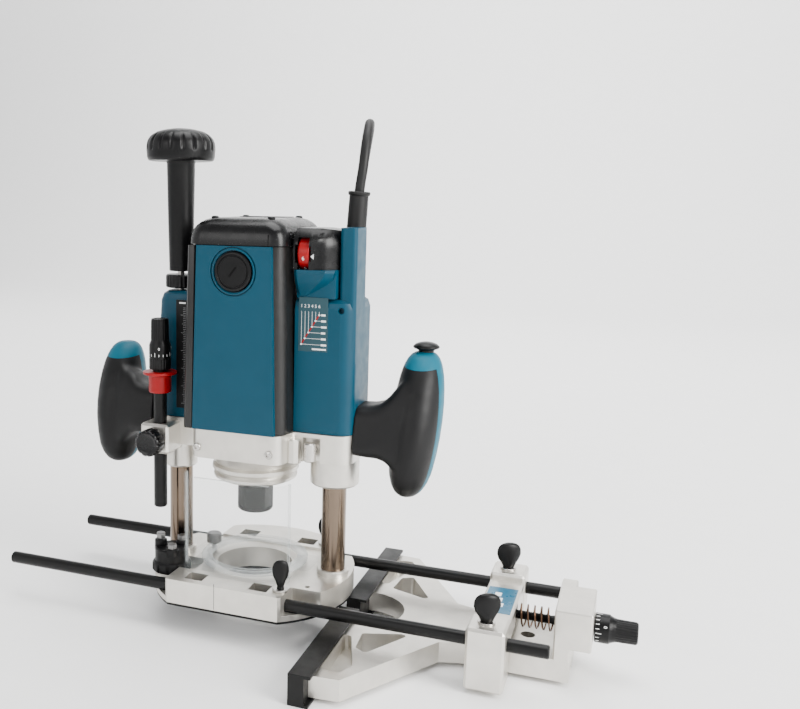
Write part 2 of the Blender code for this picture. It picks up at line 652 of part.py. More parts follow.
def make_shaft_lock():
    lock = add("shaft_lock", rod_mesh(5.0, (58.7, -30.8, 122), (58.7, -30.8, 137), 20, 0.8), "steel")
    fuse(lock, rod_mesh(2.9, (58.7, -28, 130), (58.7, -16.5, 130), 12), "shank")
    pivot(lock, (58.7, -30.8, 130))


def grip_rings(side):
    """Sections of a raked palm grip, foot to crown."""
    rings = []
    foot = [(0.0, 0.42), (0.02, 0.68), (0.06, 0.88), (0.14, 1.0)]
    crown = [(0.83, 1.0), (0.93, 0.95), (0.975, 0.78), (1.0, 0.5)]
    for t, end in foot + [(0.26, 1.0), (0.4, 1.0), (0.55, 1.0), (0.7, 1.0)] + crown:
        bulge = 4 * t * (1 - t)
        x = side * (GRIP_X + bulge)
        y = GRIP_Y_BOTTOM + (GRIP_Y_TOP - GRIP_Y_BOTTOM) * t - 3.0 * bulge
        z = GRIP_Z_BOTTOM + (GRIP_Z_TOP - GRIP_Z_BOTTOM) * t
        half_x = end * (10.5 + 1.5 * t + 5.3 * bulge)
        half_y = end * (18.0 - 5.0 * t + 11.0 * bulge)
        ring = []
        for i in range(24):
            a = 2 * math.pi * i / 24
            ring.append((x + half_x * math.cos(a), y + half_y * math.sin(a), z))
        rings.append(ring)
    return rings


def front_half_mesh(gap):
    """A block over the front half of a grip, up to the line of its cap."""
    rake = (GRIP_Y_TOP - GRIP_Y_BOTTOM) / (GRIP_Z_TOP - GRIP_Z_BOTTOM)
    low = GRIP_Z_BOTTOM - 30
    line = GRIP_Y_BOTTOM + 6.0 + gap
    ring = [(-100, low), (line - 30 * rake, low)]
    ring.append((line + (CAP_Z - GRIP_Z_BOTTOM) * rake, CAP_Z + gap))
    ring.append((-100, CAP_Z + gap))
    return end_slab_mesh(ring, -200, 200)


def neck_mesh(side):
    """The arm between a grip and the body."""
    neck = [(-18, 124), (14, 124), (20, 130), (20, 160), (14, 166), (-18, 166), (-24, 160), (-24, 130)]
    return end_slab_mesh(neck, side * 90.3, side * 132)


def make_handle(word, side):
    front = add(word + "_handle", loft(grip_rings(side)), "black")
    fuse(front, neck_mesh(side), "neck")
    keep(front, front_half_mesh(0), "front_half")
    rear = add(word + "_handle_shell", loft(grip_rings(side)), "teal")
    fuse(rear, neck_mesh(side), "neck")
    cut(rear, front_half_mesh(GAP), "front_half")
    return front, rear


def make_handles():
    make_handle("left", -1)
    front, rear = make_handle("right", 1)
    blade = [(22.5, 145), (36, 145), (40.5, 152), (44.5, 172), (42, 181), (31, 181)]
    trigger = add("switch_trigger", end_slab_mesh(blade, 128, 140), "black")
    pivot(trigger, (134, 33, 181))
    cut(rear, block_mesh((126, 0.0, 141.0), (142, 70.0, 185.0)), "trigger_room")
    x, y = LOCK_BUTTON
    profile = [(0, 0), (2.8, 0), (2.8, 10.2), (6.0, 11.0), (10.4, 12.5), (9.4, 15.0), (5.5, 16.8), (0, 17.4)]
    button = add("lock_button", aim(turned(profile, 24), (x, y, 200)), "black")
    cut(rear, rod_mesh(3.1, (x, y, 195.0), (x, y, 240), 16), "button_hole")
    pivot(button, (x, y, 200))


def make_plunge_lock():
    """The lever behind the left column that clamps the plunge."""
    lever = add("plunge_lock_lever", block_mesh((-90, 37.0, 120), (-78, 43.0, 140), 2.5, 2), "black")
    fuse(lever, block_mesh((-94, 37.5, 84), (-84, 42.5, 128), 2.0, 2), "arm")
    fuse(lever, rod_mesh(3.0, (-84, 26.5, 132), (-84, 38.0, 132), 12), "spindle")
    pivot(lever, (-84, 34, 132))


def make_depth_stop():
    pole = add("stop_pole", rod_mesh(POLE_R, (POLE_X, POLE_Y, 68.5), (POLE_X, POLE_Y, 205), 20, 0.8), "black")
    pivot(pole, (POLE_X, POLE_Y, 68.5))
    inner = POLE_R + 0.2
    flange = [(inner, 167), (9.0, 167), (9.4, 168), (9.4, 181), (14.2, 182.5), (14.2, 184.5), (inner, 184.5)]
    pointer = add("depth_pointer", aim(turned(flange, 32), (POLE_X, POLE_Y, 0)), "red")
    pivot(pointer, (POLE_X, POLE_Y, 167))
    knob = [(0, 206.0), (inner, 206.0), (inner, 186.5), (8.6, 186.5), (9.0, 187.5), (9.0, 208.0)]
    knob += [(8.2, 211.0), (7.4, 229.0), (0, 230.0)]
    top = add("fine_adjust_knob", aim(turned(knob, 24), (POLE_X, POLE_Y, 0)), "black")
    for i in range(12):
        a = math.radians(30 * i)
        spot = (POLE_X + 9.6 * math.cos(a), POLE_Y + 9.6 * math.sin(a))
        cut(top, rod_mesh(1.1, (*spot, 188.5), (*spot, 207.0), 8), "flute")
    pivot(top, (POLE_X, POLE_Y, 186.5))
    wheel = aim(fluted(11.6, 1.0, 12, 0, 14.0, 0, 3), (POLE_X, -43.5, 127.8), (0, -1, 0))
    nut = add("stop_pole_nut", wheel, "black")
    fuse(nut, rod_mesh(2.9, (POLE_X, -45, 127.8), (POLE_X, POLE_Y - POLE_R - 0.3, 127.8), 12), "shank")
    pivot(nut, (POLE_X, -43.5, 127.8))


# ---------------------------------------------------------------- guide

def make_guide_rods():
    for word, y, left in (("front", -ROD_Y, ROD_LEFT_FRONT), ("rear", ROD_Y, ROD_LEFT_REAR)):
        rod = rod_mesh(ROD_R, (left, y, ROD_Z), (ROD_RIGHT, y, ROD_Z), 24, 0.8)
        add("guide_rod_" + word, rod, "black")


def make_holder():
    x0 = HOLDER_X
    x1 = HOLDER_X + HOLDER_W
    inner = 42.0
    block = block_mesh((x0, HOLDER_FRONT, GUIDE_BOTTOM), (x1, -inner, 25.0), 2.0)
    holder = add("guide_holder", block, "aluminium")
    fuse(holder, block_mesh((x0, inner, GUIDE_BOTTOM), (x1, -HOLDER_FRONT, 25.0), 2.0), "rear_block")
    fuse(holder, block_mesh((x0 + 0.7, -inner - 4, 2.0), (x1 - 0.7, inner + 4, 20.0), 1.5), "bridge")
    for side in (-1, 1):
        y = side * ROD_Y
        cut(holder, rod_mesh(ROD_R + 0.1, (x0 - 10, y, ROD_Z), (x1 + 10, y, ROD_Z), 24), "rod_bore")
        cut(holder, rod_mesh(3.1, (x0 + 14, y, ROD_Z), (x0 + 14, y, 40), 12), "screw_hole")
    cut(holder, block_mesh((x0 + 9.5, -5.6, -20), (x1 + 10, 5.6, SCREW_Z + 5.8)), "adjuster_slot")


def guide_outline():
    """The guide casting from above, with its narrow neck under the holder."""
    half = 33.0
    front = [(FENCE_X + 12.2, -126), (116, -124), (168, -38), (184, -half), (262.5, -half)]
    rear = [(x, -y) for x, y in reversed(front)]
    return front + rear


def make_guide_plate():
    plate = add("guide_plate", slab_mesh(guide_outline(), GUIDE_BOTTOM + 0.5, GUIDE_TOP), "aluminium")
    fuse(plate, block_mesh((250.5, -33, -12), (262.5, 33, 33.0), 1.0), "upright")
    fuse(plate, block_mesh((258, -33, 4.0), (277.0, 20, 33.0), 1.0), "barrel")
    cut(plate, rod_mesh(32.0, (99, 0, -60), (99, 0, 40), 40), "cutter_bay")
    for side in (-1, 1):
        window = rounded([(110, side * 47), (112, side * 72), (121, side * 78), (146, side * 34)], 3.0, 3)
        cut(plate, slab_mesh(window, -60, 40), "window")
        pocket = [(98, side * 50), (98, side * 112), (112, side * 114), (118, side * 100), (104, side * 56)]
        cut(plate, slab_mesh(rounded(pocket, 3.0, 3), GUIDE_TOP - 11, 40), "pocket")
    cut(plate, rod_mesh(5.5, (229, 2, -60), (229, 2, 0), 20), "drain_hole")
    cut(plate, rod_mesh(4.2, (240, 0, SCREW_Z), (300, 0, SCREW_Z), 16), "adjuster_hole")


def make_fences():
    x = FENCE_X
    outline = [
        (x, FENCE_BOTTOM), (x + 15.5, FENCE_BOTTOM),
        (x + 15.5, FENCE_BOTTOM + 2.3), (x + 12, FENCE_BOTTOM + 2.3),
        (x + 12, GUIDE_TOP + 1.7), (x + 17, GUIDE_TOP + 1.7), (x + 17, FENCE_TOP), (x, FENCE_TOP),
    ]
    for name, low, high in (("fence_front", -FENCE_HALF - 3, -14), ("fence_rear", 4, FENCE_HALF - 3)):
        fence = add(name, side_slab_mesh(outline, low, high), "black")
        pivot(fence, (x, (low + high) / 2, FENCE_TOP))


def make_adjuster():
    profile = [
        (0, 0), (3.6, 0), (3.6, 71.5), (10.6, 71.5), (10.9, 72), (10.9, 82.0), (9.0, 85.5),
        (8.6, 88.0), (8.3, 101.0), (7.6, 102.0), (0, 102.0),
    ]
    screw = add("micro_adjuster", aim(turned(profile, 28), (206.0, 0, SCREW_Z), (1, 0, 0)), "black")
    pivot(screw, (277.5, 0, SCREW_Z))
    pts = []
    turns = 5
    per = 12
    for i in range(turns * per + 1):
        a = 2 * math.pi * i / per
        pts.append((222.0 + 25.3 * i / (turns * per), 8.4 * math.cos(a), SCREW_Z + 8.4 * math.sin(a)))
    wire("adjuster_spring", pts, 1.4, "brass", 0)


# ---------------------------------------------------------------- lead

def smooth(points, count):
    """Points evenly spaced along a Catmull-Rom curve through the given ones."""
    spots = [Vector(p) for p in points]
    ends = [spots[0] * 2 - spots[1]] + spots + [spots[-1] * 2 - spots[-2]]
    fine = []
    for p0, p1, p2, p3 in zip(ends, ends[1:], ends[2:], ends[3:]):
        for k in range(20):
            t = k / 20
            a = p1 * 2 + (p2 - p0) * t
            b = (p0 * 2 - p1 * 5 + p2 * 4 - p3) * t * t
            c = (p1 * 3 - p0 - p2 * 3 + p3) * t * t * t
            fine.append((a + b + c) / 2)
    fine.append(spots[-1])
    length = [0.0]
    for p, q in zip(fine, fine[1:]):
        length.append(length[-1] + (q - p).length)
    out = []
    k = 0
    for i in range(count):
        goal = length[-1] * i / (count - 1)
        while k < len(length) - 2 and length[k + 1] < goal:
            k += 1
        out.append(fine[k].lerp(fine[k + 1], (goal - length[k]) / (length[k + 1] - length[k])))
    return out


def make_lead():
    """The mains lead: guard, the free run, its stored coil and the plug."""
    foot = Vector(GUARD_FOOT)
    head = Vector(GUARD_HEAD)
    length = (head - foot).length
    inner = CORD_D / 2 + 0.4
    profile = [(inner, 0.6), (8.3, 0.6), (8.3, length - 3), (9.0, length - 3), (9.0, length), (inner, length)]
    add("cord_guard", aim(turned(profile, 28), foot, head - foot), "rubber")
    wire("power_cord", smooth(LEAD_ROUTE, 76), CORD_D, "rubber", 2)
    x, y = COIL_CENTRE
    low = FENCE_BOTTOM
    edge = CORD_D / 4
    shoulder = low + CORD_D
    top = low + 2 * CORD_D
    ring = [(COIL_IN, low + edge), (COIL_IN + edge, low), (COIL_OUT - edge, low), (COIL_OUT, low + edge)]
    ring += [(COIL_OUT, shoulder - edge), (COIL_OUT - edge, shoulder), (COIL_MID, shoulder)]
    ring += [(COIL_MID, top - edge), (COIL_MID - edge, top), (COIL_IN + edge, top), (COIL_IN, top - edge)]
    add("cord_coil", aim(turned(ring, 44), (x, y, 0)), "rubber")
    make_plug(low)


def make_plug(low):
    """A plain two-pin plug lying beside the coil."""
    turn = Matrix.Rotation(math.radians(PLUG_TURN), 4, "Z")
    lay = Matrix.Translation((*PLUG_AT, low)) @ turn
    middle = PLUG_H / 2
    shapes = [slab_mesh(rectangle(PLUG_BOOT, PLUG_BOOT + 26, -16, 16, 7), 0.2, PLUG_H)]
    shapes.append(rod_mesh(6.0, (0, 0, middle), (PLUG_BOOT + 4, 0, middle), 16, 1.0))
    for side in (-9.5, 9.5):
        shapes.append(rod_mesh(2.4, (PLUG_BOOT + 22, side, middle), (PLUG_BOOT + 43, side, middle), 12, 0.6))
    for shape in shapes:
        shape.transform(lay)
    plug = add("mains_plug", shapes[0], "rubber")
    for shape in shapes[1:]:
        fuse(plug, shape)


def place_on_ground():
    """Shift every part so the ground is Z = 0 under the middle of the object."""
    bpy.context.view_layer.update()
    corners = []
    for obj in PARTS.objects:
        if not obj.name.startswith(("power_cord", "cord_coil", "mains_plug")):
            corners += [obj.matrix_world @ Vector(c) for c in obj.bound_box]
    low = [min(c[i] for c in corners) for i in range(3)]
    high = [max(c[i] for c in corners) for i in range(3)]
    shift = Vector((-(low[0] + high[0]) / 2, -(low[1] + high[1]) / 2, -low[2]))
    for obj in list(PARTS.objects) + list(TOOLS.objects):
        obj.location += shift
    print("shift_mm", [round(v / MM, 4) for v in shift])


clear_scene()
PARTS = collection("plunge_router")
TOOLS = collection("cutters")

make_base()
make_sole()
make_columns()
make_turret()
make_rod_clamp("rod_clamp_front", 46, -ROD_Y, 16.3, 26.0, 47, 7.6)
make_rod_clamp("rod_clamp_rear", 46, ROD_Y, 16.3, 26.0, 47, 7.6)
make_height_knob()
make_deflector()
make_bracket()
make_tower()
make_covers()
make_top_cover()
make_side_shells()
make_speed_control()
make_drive()
make_shaft_lock()
make_handles()
make_plunge_lock()
make_depth_stop()
make_guide_rods()
make_holder()
make_rod_clamp("holder_screw_front", HOLDER_X + 14, -ROD_Y, 16.2, 26.5, 47, 11.5)
make_rod_clamp("holder_screw_rear", HOLDER_X + 14, ROD_Y, 16.2, 26.5, 47, 11.5)
make_guide_plate()
make_fences()
make_adjuster()
make_lead()
place_on_ground()
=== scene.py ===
"""Looks for the plunge router: finer shapes, materials, lights and camera.

Lengths are written in millimetres in the router's own frame (spindle axis on
the underside of the sole) and at() turns them into metres in the row frame.
"""
import json
from math import atan2, copysign, cos, pi, radians, sin

import bmesh
import bpy
from mathutils import Matrix, Vector

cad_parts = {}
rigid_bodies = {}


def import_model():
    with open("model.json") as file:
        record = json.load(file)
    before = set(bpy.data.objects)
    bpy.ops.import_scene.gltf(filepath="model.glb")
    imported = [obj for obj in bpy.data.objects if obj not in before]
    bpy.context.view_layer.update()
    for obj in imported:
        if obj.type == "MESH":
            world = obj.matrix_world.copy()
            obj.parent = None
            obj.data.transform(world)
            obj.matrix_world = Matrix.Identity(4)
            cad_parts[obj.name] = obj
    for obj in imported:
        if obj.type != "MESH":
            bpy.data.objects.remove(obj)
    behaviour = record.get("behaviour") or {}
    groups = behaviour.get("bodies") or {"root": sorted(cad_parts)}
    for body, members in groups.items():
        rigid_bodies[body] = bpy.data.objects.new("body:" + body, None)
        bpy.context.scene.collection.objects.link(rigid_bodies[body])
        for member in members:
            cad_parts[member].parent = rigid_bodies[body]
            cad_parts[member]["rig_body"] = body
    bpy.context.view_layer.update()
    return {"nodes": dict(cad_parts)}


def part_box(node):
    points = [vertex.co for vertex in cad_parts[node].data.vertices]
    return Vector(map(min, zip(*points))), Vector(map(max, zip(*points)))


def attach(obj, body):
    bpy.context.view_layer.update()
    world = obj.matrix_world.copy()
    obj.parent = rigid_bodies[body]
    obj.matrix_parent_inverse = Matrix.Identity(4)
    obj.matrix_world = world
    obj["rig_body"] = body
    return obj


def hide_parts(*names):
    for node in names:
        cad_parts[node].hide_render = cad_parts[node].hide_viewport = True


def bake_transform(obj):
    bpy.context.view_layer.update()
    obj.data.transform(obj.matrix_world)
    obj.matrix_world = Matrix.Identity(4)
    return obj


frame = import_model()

MM = 0.001
NODES = frame["nodes"]


def middle(node, axis):
    low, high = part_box(node)
    return (low[axis] + high[axis]) / 2


ORIGIN = Vector((
    (middle("left_column", 0) + middle("right_column", 0)) / 2,
    middle("left_column", 1),
    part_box("base_sole")[0].z,
))
FLOOR_Z = min(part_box("guide_holder")[0].z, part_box("fence_front")[0].z)
CAMERA_PLACE = (298.06, -721.48, 326.61)
CAMERA_ANGLES = (21.93, 8.52, 0.63)
BASE_TOP = 22.05


def at(x, y, z):
    return ORIGIN + Vector((x, y, z)) * MM


def local(value, axis):
    """A row-frame coordinate in the router's millimetres."""
    return (value - ORIGIN[axis]) / MM


def centre(node, axis):
    """The middle of a node's box along one axis, in the router's millimetres."""
    return local(middle(node, axis), axis)


def span(node, axis):
    """Where a node's box starts and ends along one axis, in the router's millimetres."""
    low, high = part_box(node)
    return local(low[axis], axis), local(high[axis], axis)


def half(node, axis):
    low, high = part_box(node)
    return (high[axis] - low[axis]) / 2 / MM


def around(count):
    """Angles evenly spaced round a circle."""
    return [2 * pi * k / count for k in range(count)]


def squarish(value, power):
    """A cosine or sine swollen from a circle towards a square."""
    return copysign(abs(value) ** (2 / power), value)


def placed(name, data):
    """An object in the scene for a mesh, curve, light or camera."""
    obj = bpy.data.objects.new(name, data)
    bpy.context.scene.collection.objects.link(obj)
    return obj


def mesh_of(name, bm):
    mesh = bpy.data.meshes.new(name)
    bm.to_mesh(mesh)
    bm.free()
    return mesh


# ---------------- camera

def make_camera():
    yaw, pitch, roll = (radians(v) for v in CAMERA_ANGLES)
    flat = cos(pitch)
    forward = Vector((-sin(yaw) * flat, cos(yaw) * flat, -sin(pitch)))
    right = Vector((cos(yaw), sin(yaw), 0))
    up = right.cross(forward)
    across = cos(roll) * right + sin(roll) * up
    over = cos(roll) * up - sin(roll) * right
    data = bpy.data.cameras.new("camera")
    data.lens = 42.83
    data.sensor_width = 36.0
    data.sensor_fit = "HORIZONTAL"
    data.shift_x = 0.1682
    data.shift_y = -0.0159
    data.clip_start = 0.05
    data.clip_end = 50
    camera = placed("camera", data)
    turn = Matrix((across, over, -forward)).transposed().to_4x4()
    camera.matrix_world = Matrix.Translation(at(*CAMERA_PLACE)) @ turn
    bpy.context.scene.camera = camera


# ---------------- materials

RELIEF_DEPTH = 0.00005
THIN_WALL_BLUR = (0.85, 1.1)


def link(tree, out_node, out_name, in_node, in_name):
    tree.links.new(out_node.outputs[out_name], in_node.inputs[in_name])


def coordinates(tree, stretch):
    coord = tree.nodes.new("ShaderNodeTexCoord")
    mapping = tree.nodes.new("ShaderNodeMapping")
    mapping.inputs["Scale"].default_value = stretch
    link(tree, coord, "Object", mapping, "Vector")
    return mapping


def noise(tree, mapping, scale, detail=3.0):
    node = tree.nodes.new("ShaderNodeTexNoise")
    node.inputs["Scale"].default_value = scale
    node.inputs["Detail"].default_value = detail
    link(tree, mapping, "Vector", node, "Vector")
    return node


def mapped(tree, source, low, high):
    node = tree.nodes.new("ShaderNodeMapRange")
    node.inputs["From Min"].default_value = 0.3
    node.inputs["From Max"].default_value = 0.7
    node.inputs["To Min"].default_value = low
    node.inputs["To Max"].default_value = high
    tree.links.new(source.outputs[0], node.inputs["Value"])
    return node


def finish(name, colour, rough, metal=0.0, grain=900, bump=0.15, vary=0.08, cloud=35,
           stretch=(1, 1, 1), edge_tint=None, rough_vary=0.06, shine=0.5):
    """A surface with fine grain, slow colour clouding and uneven gloss."""
    mat = bpy.data.materials.new(name)
    mat.use_nodes = True
    tree = mat.node_tree
    shader = tree.nodes["Principled BSDF"]
    shader.inputs["Metallic"].default_value = metal
    shader.inputs["Specular IOR Level"].default_value = shine
    mapping = coordinates(tree, stretch)
    fine = noise(tree, mapping, grain)
    relief = tree.nodes.new("ShaderNodeBump")
    relief.inputs["Strength"].default_value = bump
    relief.inputs["Distance"].default_value = RELIEF_DEPTH
    link(tree, fine, "Fac", relief, "Height")
    link(tree, relief, "Normal", shader, "Normal")
    slow = noise(tree, mapping, cloud, 5.0)
    mix = tree.nodes.new("ShaderNodeMix")
    mix.data_type = "RGBA"
    mix.inputs[6].default_value = (*[c * (1 - vary) for c in colour], 1)
    mix.inputs[7].default_value = (*[min(1.0, c * (1 + vary)) for c in colour], 1)
    tree.links.new(mapped(tree, slow, 0.0, 1.0).outputs[0], mix.inputs[0])
    top = mix
    # Lighter colour on convex edges, from the mesh's pointiness.
    if edge_tint:
        edge = tree.nodes.new("ShaderNodeNewGeometry")
        share = tree.nodes.new("ShaderNodeMapRange")
        share.inputs["From Min"].default_value = 0.53
        share.inputs["From Max"].default_value = 0.62
        share.inputs["To Max"].default_value = 0.55
        link(tree, edge, "Pointiness", share, "Value")
        top = tree.nodes.new("ShaderNodeMix")
        top.data_type = "RGBA"
        top.inputs[7].default_value = (*edge_tint, 1)
        tree.links.new(share.outputs[0], top.inputs[0])
        tree.links.new(mix.outputs[2], top.inputs[6])
    tree.links.new(top.outputs[2], shader.inputs["Base Color"])
    uneven = noise(tree, mapping, cloud * 3, 4.0)
    gloss = mapped(tree, uneven, max(0.02, rough - rough_vary), rough + rough_vary)
    tree.links.new(gloss.outputs[0], shader.inputs["Roughness"])
    return mat


def clear_finish(name, tint, edge):
    """Clear moulded plastic: see-through face on, glossy at a glance."""
    mat = bpy.data.materials.new(name)
    mat.use_nodes = True
    tree = mat.node_tree
    shader = tree.nodes["Principled BSDF"]
    shader.inputs["Base Color"].default_value = (*tint, 1)
    shader.inputs["Roughness"].default_value = 0.06
    facing = tree.nodes.new("ShaderNodeLayerWeight")
    facing.inputs["Blend"].default_value = 0.35
    streak = noise(tree, coordinates(tree, (1, 1, 1)), 60)
    share = tree.nodes.new("ShaderNodeMapRange")
    share.inputs["To Min"].default_value = edge * 0.3
    share.inputs["To Max"].default_value = edge
    link(tree, facing, "Facing", share, "Value")
    blur = tree.nodes.new("ShaderNodeMath")
    blur.operation = "MULTIPLY"
    tree.links.new(share.outputs[0], blur.inputs[0])
    tree.links.new(mapped(tree, streak, *THIN_WALL_BLUR).outputs[0], blur.inputs[1])
    tree.links.new(blur.outputs[0], shader.inputs["Alpha"])
    return mat


def make_finishes():
    return {
        "teal": finish("teal_moulded", (0.0, 0.040, 0.070), 0.42, grain=1100, bump=0.2, vary=0.05,
                       shine=0.22),
        # A lighter copy of the housing teal for the grip backs: painted light on the same plastic.
        "teal_painted_lit": finish("teal_painted_lit_copy", (0.0, 0.098, 0.150), 0.45, bump=0.25, vary=0.06,
                              shine=0.15),
        "black": finish("black_moulded", (0.003, 0.003, 0.0033), 0.42, grain=1000, bump=0.3, vary=0.2,
                        shine=0.2),
        "gloss": finish("black_gloss", (0.0022, 0.0022, 0.0025), 0.27, grain=400, bump=0.06, vary=0.15,
                        shine=0.27),
        "strip": finish("black_strip", (0.007, 0.0068, 0.0065), 0.34, grain=1400, bump=0.3, vary=0.12,
                        shine=0.35),
        "grip": finish("soft_grip", (0.0035, 0.0035, 0.0038), 0.46, grain=1600, bump=0.5, vary=0.15,
                       shine=0.22),
        "knob": finish("knob_plastic", (0.002, 0.002, 0.0022), 0.34, grain=700, bump=0.18, vary=0.2,
                       shine=0.2),
        "cast": finish("blasted_casting", (0.66, 0.635, 0.585), 0.34, 0.9, grain=2200, bump=0.45, vary=0.07,
                       cloud=60),
        "column": finish("ground_steel", (0.155, 0.117, 0.088), 0.18, 1.0, grain=600, bump=0.12, vary=0.1,
                         stretch=(1, 1, 0.04), rough_vary=0.07),
        "steel": finish("bright_steel", (0.56, 0.54, 0.51), 0.28, 1.0, grain=800, bump=0.2, vary=0.1),
        "screw": finish("screw_steel", (0.16, 0.16, 0.16), 0.38, 0.85, bump=0.4, vary=0.2,
                        edge_tint=(0.42, 0.41, 0.39)),
        "collet": finish("collet_steel", (0.03, 0.029, 0.028), 0.36, 0.6, grain=700, bump=0.3, vary=0.16,
                         edge_tint=(0.12, 0.115, 0.11)),
        "rod": finish("black_oxide", (0.004, 0.004, 0.004), 0.38, 0.2, bump=0.4, vary=0.3,
                      stretch=(0.15, 1, 1), shine=0.25),
        "fence": finish("fence_black", (0.0025, 0.0025, 0.0025), 0.42, grain=1500, bump=0.5, vary=0.25,
                        shine=0.22),
        "red": finish("red_moulded", (0.25, 0.001, 0.003), 0.38, shine=0.25),
        "spring": finish("spring_wire", (0.15, 0.085, 0.055), 0.3, 0.9, grain=500, bump=0.2, vary=0.3),
        "copper": finish("copper_winding", (0.55, 0.26, 0.13), 0.35, 0.8, grain=700, bump=0.4, vary=0.15,
                         stretch=(1, 1, 6)),
        "rubber": finish("cord_rubber", (0.0045, 0.0043, 0.0042), 0.5, grain=1400, bump=0.45, vary=0.18,
                         shine=0.3),
        "white": finish("print_white", (0.8, 0.81, 0.81), 0.5, bump=0.1, vary=0.06),
        "faint": finish("print_faint", (0.28, 0.29, 0.29), 0.5, bump=0.1, vary=0.06),
        "panel": finish("print_panel", (0.012, 0.048, 0.062), 0.4, bump=0.1, vary=0.12, shine=0.3),
        "sticker": finish("sticker_teal", (0.002, 0.10, 0.18), 0.3, grain=600, bump=0.08, vary=0.05),
        "dark": finish("inside_dark", (0.003, 0.003, 0.003), 0.7, grain=500, bump=0.1, vary=0.2, shine=0.1),
        "clear": clear_finish("clear_shield", (0.30, 0.33, 0.33), 0.15),
        # A lighter, more opaque copy of the clear finish, used as painted highlights on the shield's edge
        # strips and ring foot.
        "clear_painted_highlight": clear_finish("clear_shield_painted_highlight", (0.62, 0.66, 0.66), 0.6),
    }


# ---------------- building

WELD = 2e-6
ROUNDNESS = 0.6


def piece(name, bm, body, surface, angle=35, node=None):
    bmesh.ops.recalc_face_normals(bm, faces=bm.faces)
    mesh = mesh_of(name, bm)
    mesh.shade_smooth()
    mesh.set_sharp_from_angle(angle=radians(angle))
    obj = placed(name, mesh)
    obj.data.materials.append(FINISH[surface])
    if body:
        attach(obj, body)
    if node:
        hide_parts(node)
    return obj


def cad_form(node):
    """The CAD node's shape as a clean mesh, its flat faces whole."""
    bm = bmesh.new()
    bm.from_mesh(NODES[node].data)
    bmesh.ops.remove_doubles(bm, verts=bm.verts, dist=WELD)
    bmesh.ops.dissolve_limit(bm, angle_limit=radians(0.6), verts=bm.verts, edges=bm.edges)
    return bm


def refined(node, surface, bevel, angle):
    """The CAD node's own shape with its edges rounded, standing for it."""
    bm = cad_form(node)
    limit = radians(angle)
    sharp = [e for e in bm.edges if len(e.link_faces) == 2 and e.calc_face_angle(0) > limit]
    bmesh.ops.bevel(bm, geom=sharp, offset=bevel * MM, segments=2, profile=ROUNDNESS, affect="EDGES",
                    clamp_overlap=True)
    bmesh.ops.remove_doubles(bm, verts=bm.verts, dist=WELD)
    mesh = mesh_of(node + "_shown", bm)
    mesh.shade_smooth()
    mesh.set_sharp_from_angle(angle=radians(42))
    obj = placed(node + "_shown", mesh)
    obj.data.materials.append(FINISH[surface])
    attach(obj, NODES[node]["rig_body"])
    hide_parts(node)
    obj.modifiers.new("normals", "WEIGHTED_NORMAL").keep_sharp = True


def lathe(profile, sides=48):
    """Spin (radius, height) points in millimetres about Z into a solid or ring."""
    bm = bmesh.new()
    verts = [bm.verts.new((r * MM, 0, z * MM)) for r, z in profile]
    edges = [bm.edges.new(pair) for pair in zip(verts, verts[1:])]
    if profile[0][0] > 0:
        edges.append(bm.edges.new((verts[-1], verts[0])))
    spin = {"axis": (0, 0, 1), "cent": (0, 0, 0), "angle": 2 * pi}
    bmesh.ops.spin(bm, geom=verts + edges, steps=sides, use_merge=True, **spin)
    bmesh.ops.remove_doubles(bm, verts=bm.verts, dist=1e-6)
    return bm


def aim(bm, place, axis=(0, 0, 1), twist=0.0):
    """Turn a mesh made along Z to point along axis and move it to a router point."""
    turn = Vector((0, 0, 1)).rotation_difference(Vector(axis).normalized()).to_matrix().to_4x4()
    bm.transform(Matrix.Translation(at(*place)) @ turn @ Matrix.Rotation(twist, 4, "Z"))
    return bm


def slab(size, place, turn, bevel=0.0):
    """A box of a size in millimetres, turned and moved to a point in metres."""
    bm = bmesh.new()
    bmesh.ops.create_cube(bm, size=1.0)
    bmesh.ops.scale(bm, vec=[v * MM for v in size], verts=bm.verts)
    if bevel:
        bmesh.ops.bevel(bm, geom=bm.edges[:], offset=bevel * MM, segments=2, affect="EDGES")
    bm.transform(Matrix.Translation(place) @ turn)
    return bm


def sliced(bm, place, normal, **more):
    """Cut a mesh's faces along a plane through a point in metres."""
    geom = bm.verts[:] + bm.edges[:] + bm.faces[:]
    return bmesh.ops.bisect_plane(bm, geom=geom, plane_co=place, plane_no=normal, **more)


def block(low, high, bevel=0.3, steps=2):
    """A box between two router points in millimetres, edges rounded."""
    bm = bmesh.new()
    bmesh.ops.create_cube(bm, size=1.0)
    low, high = at(*low), at(*high)
    bmesh.ops.scale(bm, vec=high - low, verts=bm.verts)
    bmesh.ops.translate(bm, vec=(low + high) / 2, verts=bm.verts)
    if bevel:
        bmesh.ops.bevel(bm, geom=bm.edges[:], offset=bevel * MM, segments=steps, profile=ROUNDNESS,
                        affect="EDGES")
    return bm


def merge(target, other):
    """Add another mesh to target and free it."""
    mesh = mesh_of("joined", other)
    target.from_mesh(mesh)
    bpy.data.meshes.remove(mesh)
    return target


def loft(rings):
    """A closed solid through rings of points, all with the same count."""
    bm = bmesh.new()
    rows = [[bm.verts.new(p) for p in ring] for ring in rings]
    count = len(rows[0])
    for low, high in zip(rows, rows[1:]):
        for i in range(count):
            bm.faces.new((low[i], low[(i + 1) % count], high[(i + 1) % count], high[i]))
    bm.faces.new(rows[0])
    bm.faces.new(rows[-1])
    return bm


